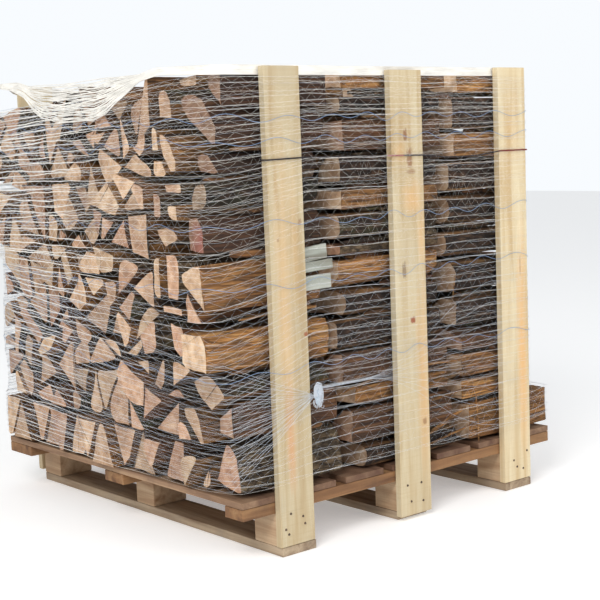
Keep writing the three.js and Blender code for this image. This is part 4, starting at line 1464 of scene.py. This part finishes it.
def net(all_logs):
    """The whole net: its strands, the zigzags between them, the gathered part, the rim and the knot."""
    girdle = Girdle(net_supports(all_logs))
    draw = random_from(NET_SEED)
    white = net_look("net_white", srgb(250, 247, 240))
    cool = net_look("net_pale_blue", srgb(216, 223, 232))
    blue = net_look("net_blue", srgb(140, 164, 198))
    shares = [(n, min(1, max(0, (n + 0.5 + spread(0.9, draw)) / STRANDS))) for n in range(STRANDS)]
    shares.sort(key=lambda item: item[1])
    half = STRANDS // 2
    # Each piece with its runs, the radius of its threads, its look, whether it closes, its weights
    pieces = {
        "seen_net": (strand_runs(girdle, shares[::2]), 1.0, white, True, STRAND_WEIGHTS),
        "net_second_strands": (strand_runs(girdle, shares[1::2]), 0.7, cool, True, SECOND_WEIGHTS),
        "net_lower_zigzag": (zigzag_runs(girdle, shares[:half], 26), 0.48, cool, False, ZIGZAG_WEIGHTS),
        "net_upper_zigzag": (zigzag_runs(girdle, shares[half:], 22), 0.48, white, False, ZIGZAG_WEIGHTS),
        "net_gathered": (gathered_runs(girdle, draw), 0.95, cool, False, GATHERED_WEIGHTS),
        "net_rim": (rim_runs(girdle), 0.95, white, True, RIM_WEIGHTS),
        "net_wavy": (wavy_runs(girdle), 0.55, blue, True),
        "net_knot_threads": (knot_threads(draw), 0.5, cool),
    }
    for name, settings in pieces.items():
        replaced = ["net"] if name == "seen_net" else []
        keep(thread_piece(name, *settings), "net", *replaced)
    knot_mesh(net_look("net_knot", srgb(178, 192, 206)))


TWINE_HEIGHTS = (846, 841, 842)
TWINE_SAG = 9
TWINE_RISE = 2
TWINE_END = 60
TWINE_RADIUS = 1.9
TWINE_CLEARANCE = 0.5
TWINE_PITCH = 9
PLY_STEP = 1.3
PLY_RADIUS = 1.05
PLY_REACH = 0.85
# Where the twine is dyed red, along X
RED_ON_MIDDLE = (-66, -20)
RED_ON_RIGHT = (300, 312)


def twine_route():
    """The same route as the solid twine, as points in millimetres."""
    (left, left_width, _, _), (mid, mid_width, _, _), (right, right_width, _, _) = UPRIGHT_SPANS["front"]
    reach = TWINE_RADIUS + TWINE_CLEARANCE
    front, inner = -BED_HALF - UPRIGHT_THICKNESS, -BED_HALF - TOUCH_GAP
    low, centre, high = TWINE_HEIGHTS

    def over(x, z):
        return Vector((x, front - reach, z))

    def turn(x, y, z, first):
        angles = [first + step * math.pi / 6 for step in range(4)]
        return [Vector((x + reach * math.cos(a), y + reach * math.sin(a), z)) for a in angles]

    route = [Vector((left + TWINE_END, inner + reach, low))]
    route += turn(left, inner, low, math.pi / 2) + turn(left, front, low, math.pi)
    span_start = mid + mid_width
    route += [over(left + left_width, low + TWINE_RISE), over(mid, centre + TWINE_RISE)]
    route.append(over(span_start, centre))
    for part in (0.25, 0.5, 0.75):
        level = centre + (high - centre) * part - TWINE_SAG * 4 * part * (1 - part)
        route.append(over(span_start + (right - span_start) * part, level))
    edge = right + right_width
    route.append(over(right, high))
    route += turn(edge, front, high, -math.pi / 2) + turn(edge, inner, high, 0)
    route.append(Vector((edge - TWINE_END, inner + reach, high)))
    return route


def twine():
    """Three plies laid round one another along the route, partly dyed red."""
    route = twine_route()
    plies = [[], [], []]
    travelled = 0
    for start, end in zip(route, route[1:]):
        run = end - start
        side = run.cross(Vector((0, 0, 1))).normalized()
        upward = side.cross(run).normalized()
        steps = max(1, int(run.length / PLY_STEP))
        for step in range(steps):
            place = start + run * (step / steps)
            turned = 2 * math.pi * (travelled + run.length * step / steps) / TWINE_PITCH
            for number, ply in enumerate(plies):
                angle = turned + number * 2 * math.pi / 3
                offset = side * math.cos(angle) + upward * math.sin(angle)
                ply.append(spot(*(place + offset * PLY_REACH)))
        travelled += run.length
    look = Look("twine", 0.85)
    across = look.node("SeparateXYZ", Vector=look.place()).outputs[0]
    red_start, red_end, right_start, right_full = (spot(x, 0, 0).x for x in RED_ON_MIDDLE + RED_ON_RIGHT)
    coming = look.fade(across, red_start - 0.004, red_start)
    going = look.fade(across, red_end, red_end + 0.006, 1, 0)
    red_middle = look.math("MULTIPLY", coming, going)
    red_right = look.fade(across, right_start, right_full, 0, 0.55)
    fuzz = look.clouds(look.place((300, 300, 300)), 1.4, 3)
    dark = look.ramp(fuzz, shades((0.3, 26, 22, 26), (0.7, 64, 56, 58)))
    colour = look.mix(look.math("MAXIMUM", red_middle, red_right), dark, srgb(150, 34, 38))
    made = thread_piece("seen_twine", plies, PLY_RADIUS, look.finish(colour, fuzz, 0.0006))
    keep(made, "twine", "twine")


# Light, floor and camera


# The camera's place in the pallet's millimetres, its turns in degrees, and its focal length in
# pixels of the square photo
CAMERA_PLACE = (-2149.4, -2656.2, 880.7)
CAMERA_YAW = 49.7
CAMERA_PITCH = -6.777
CAMERA_ROLL = -2.11
FOCAL_PIXELS = 1329.3
PHOTO_PIXELS = 600
SENSOR = 36


def camera():
    """A camera at the photo's own viewing angle."""
    yaw, pitch, roll = (math.radians(a) for a in (CAMERA_YAW, CAMERA_PITCH, CAMERA_ROLL))
    ahead = Vector((math.cos(yaw) * math.cos(pitch), math.sin(yaw) * math.cos(pitch), math.sin(pitch)))
    right = Vector((math.sin(yaw), -math.cos(yaw), 0))
    above = right.cross(ahead)
    turned_right = right * math.cos(roll) + above * math.sin(roll)
    turned_up = above * math.cos(roll) - right * math.sin(roll)
    data = bpy.data.cameras.new("camera")
    data.sensor_width = SENSOR
    data.lens = FOCAL_PIXELS / PHOTO_PIXELS * SENSOR
    seen_by = bpy.data.objects.new("camera", data)
    axes = Matrix((turned_right, turned_up, -ahead)).transposed().to_4x4()
    seen_by.matrix_world = Matrix.Translation(spot(*CAMERA_PLACE)) @ axes
    bpy.context.scene.collection.objects.link(seen_by)
    bpy.context.scene.camera = seen_by


def lamp(name, place, aim, size, watts, colour):
    data = bpy.data.lights.new(name, "AREA")
    data.shape = "SQUARE"
    data.size = size
    data.energy = watts
    data.color = colour
    made = bpy.data.objects.new(name, data)
    made.location = place
    made.rotation_euler = (Vector(aim) - Vector(place)).to_track_quat("-Z", "Y").to_euler()
    bpy.context.scene.collection.objects.link(made)


FLOOR_HALF = 14
FLOOR_DROP = 0.0005
FLOOR_GREY = 0.86
FLOOR_GLOW = 0.3
SKY_COLOUR = (0.94, 0.97, 1, 1)
SKY_LIGHT, SKY_SEEN = 0.62, 1.0


def studio():
    """A plain pale floor, a pale sky and two large soft lamps."""
    floor = bmesh.new()
    bmesh.ops.create_grid(floor, x_segments=1, y_segments=1, size=FLOOR_HALF)
    bmesh.ops.translate(floor, vec=(0, 0, -FLOOR_DROP), verts=floor.verts)
    mesh = bpy.data.meshes.new("floor")
    floor.to_mesh(mesh)
    floor.free()
    look = Look("floor", 0.9)
    look.shader.inputs["Emission Color"].default_value = (1, 1, 1, 1)
    look.shader.inputs["Emission Strength"].default_value = FLOOR_GLOW
    mesh.materials.append(look.finish((FLOOR_GREY, FLOOR_GREY, FLOOR_GREY)))
    ground = bpy.data.objects.new("floor", mesh)
    bpy.context.scene.collection.objects.link(ground)
    world = bpy.data.worlds.new("sky")
    world.use_nodes = True
    sky = world.node_tree.nodes["Background"]
    sky.inputs["Color"].default_value = SKY_COLOUR
    seen = world.node_tree.nodes.new("ShaderNodeLightPath").outputs["Is Camera Ray"]
    strength = world.node_tree.nodes.new("ShaderNodeMapRange")
    strength.inputs["To Min"].default_value = SKY_LIGHT
    strength.inputs["To Max"].default_value = SKY_SEEN
    world.node_tree.links.new(seen, strength.inputs["Value"])
    world.node_tree.links.new(strength.outputs[0], sky.inputs["Strength"])
    bpy.context.scene.world = world
    bpy.context.scene.view_settings.view_transform = "Standard"
    lamp("key", (-3.4, -2.2, 3.4), (0, 0, 0.5), 2.0, 135, (1, 0.98, 0.95))
    lamp("front", (1.5, -4.5, 2.4), (0, 0, 0.6), 2.6, 62, (1, 0.98, 0.96))


camera()
studio()
all_logs = [row_logs(row) for row in ROWS]
pallet_base()
uprights()
load_of_logs(all_logs)
nails()
twine()
net(all_logs)
bpy.context.view_layer.update()
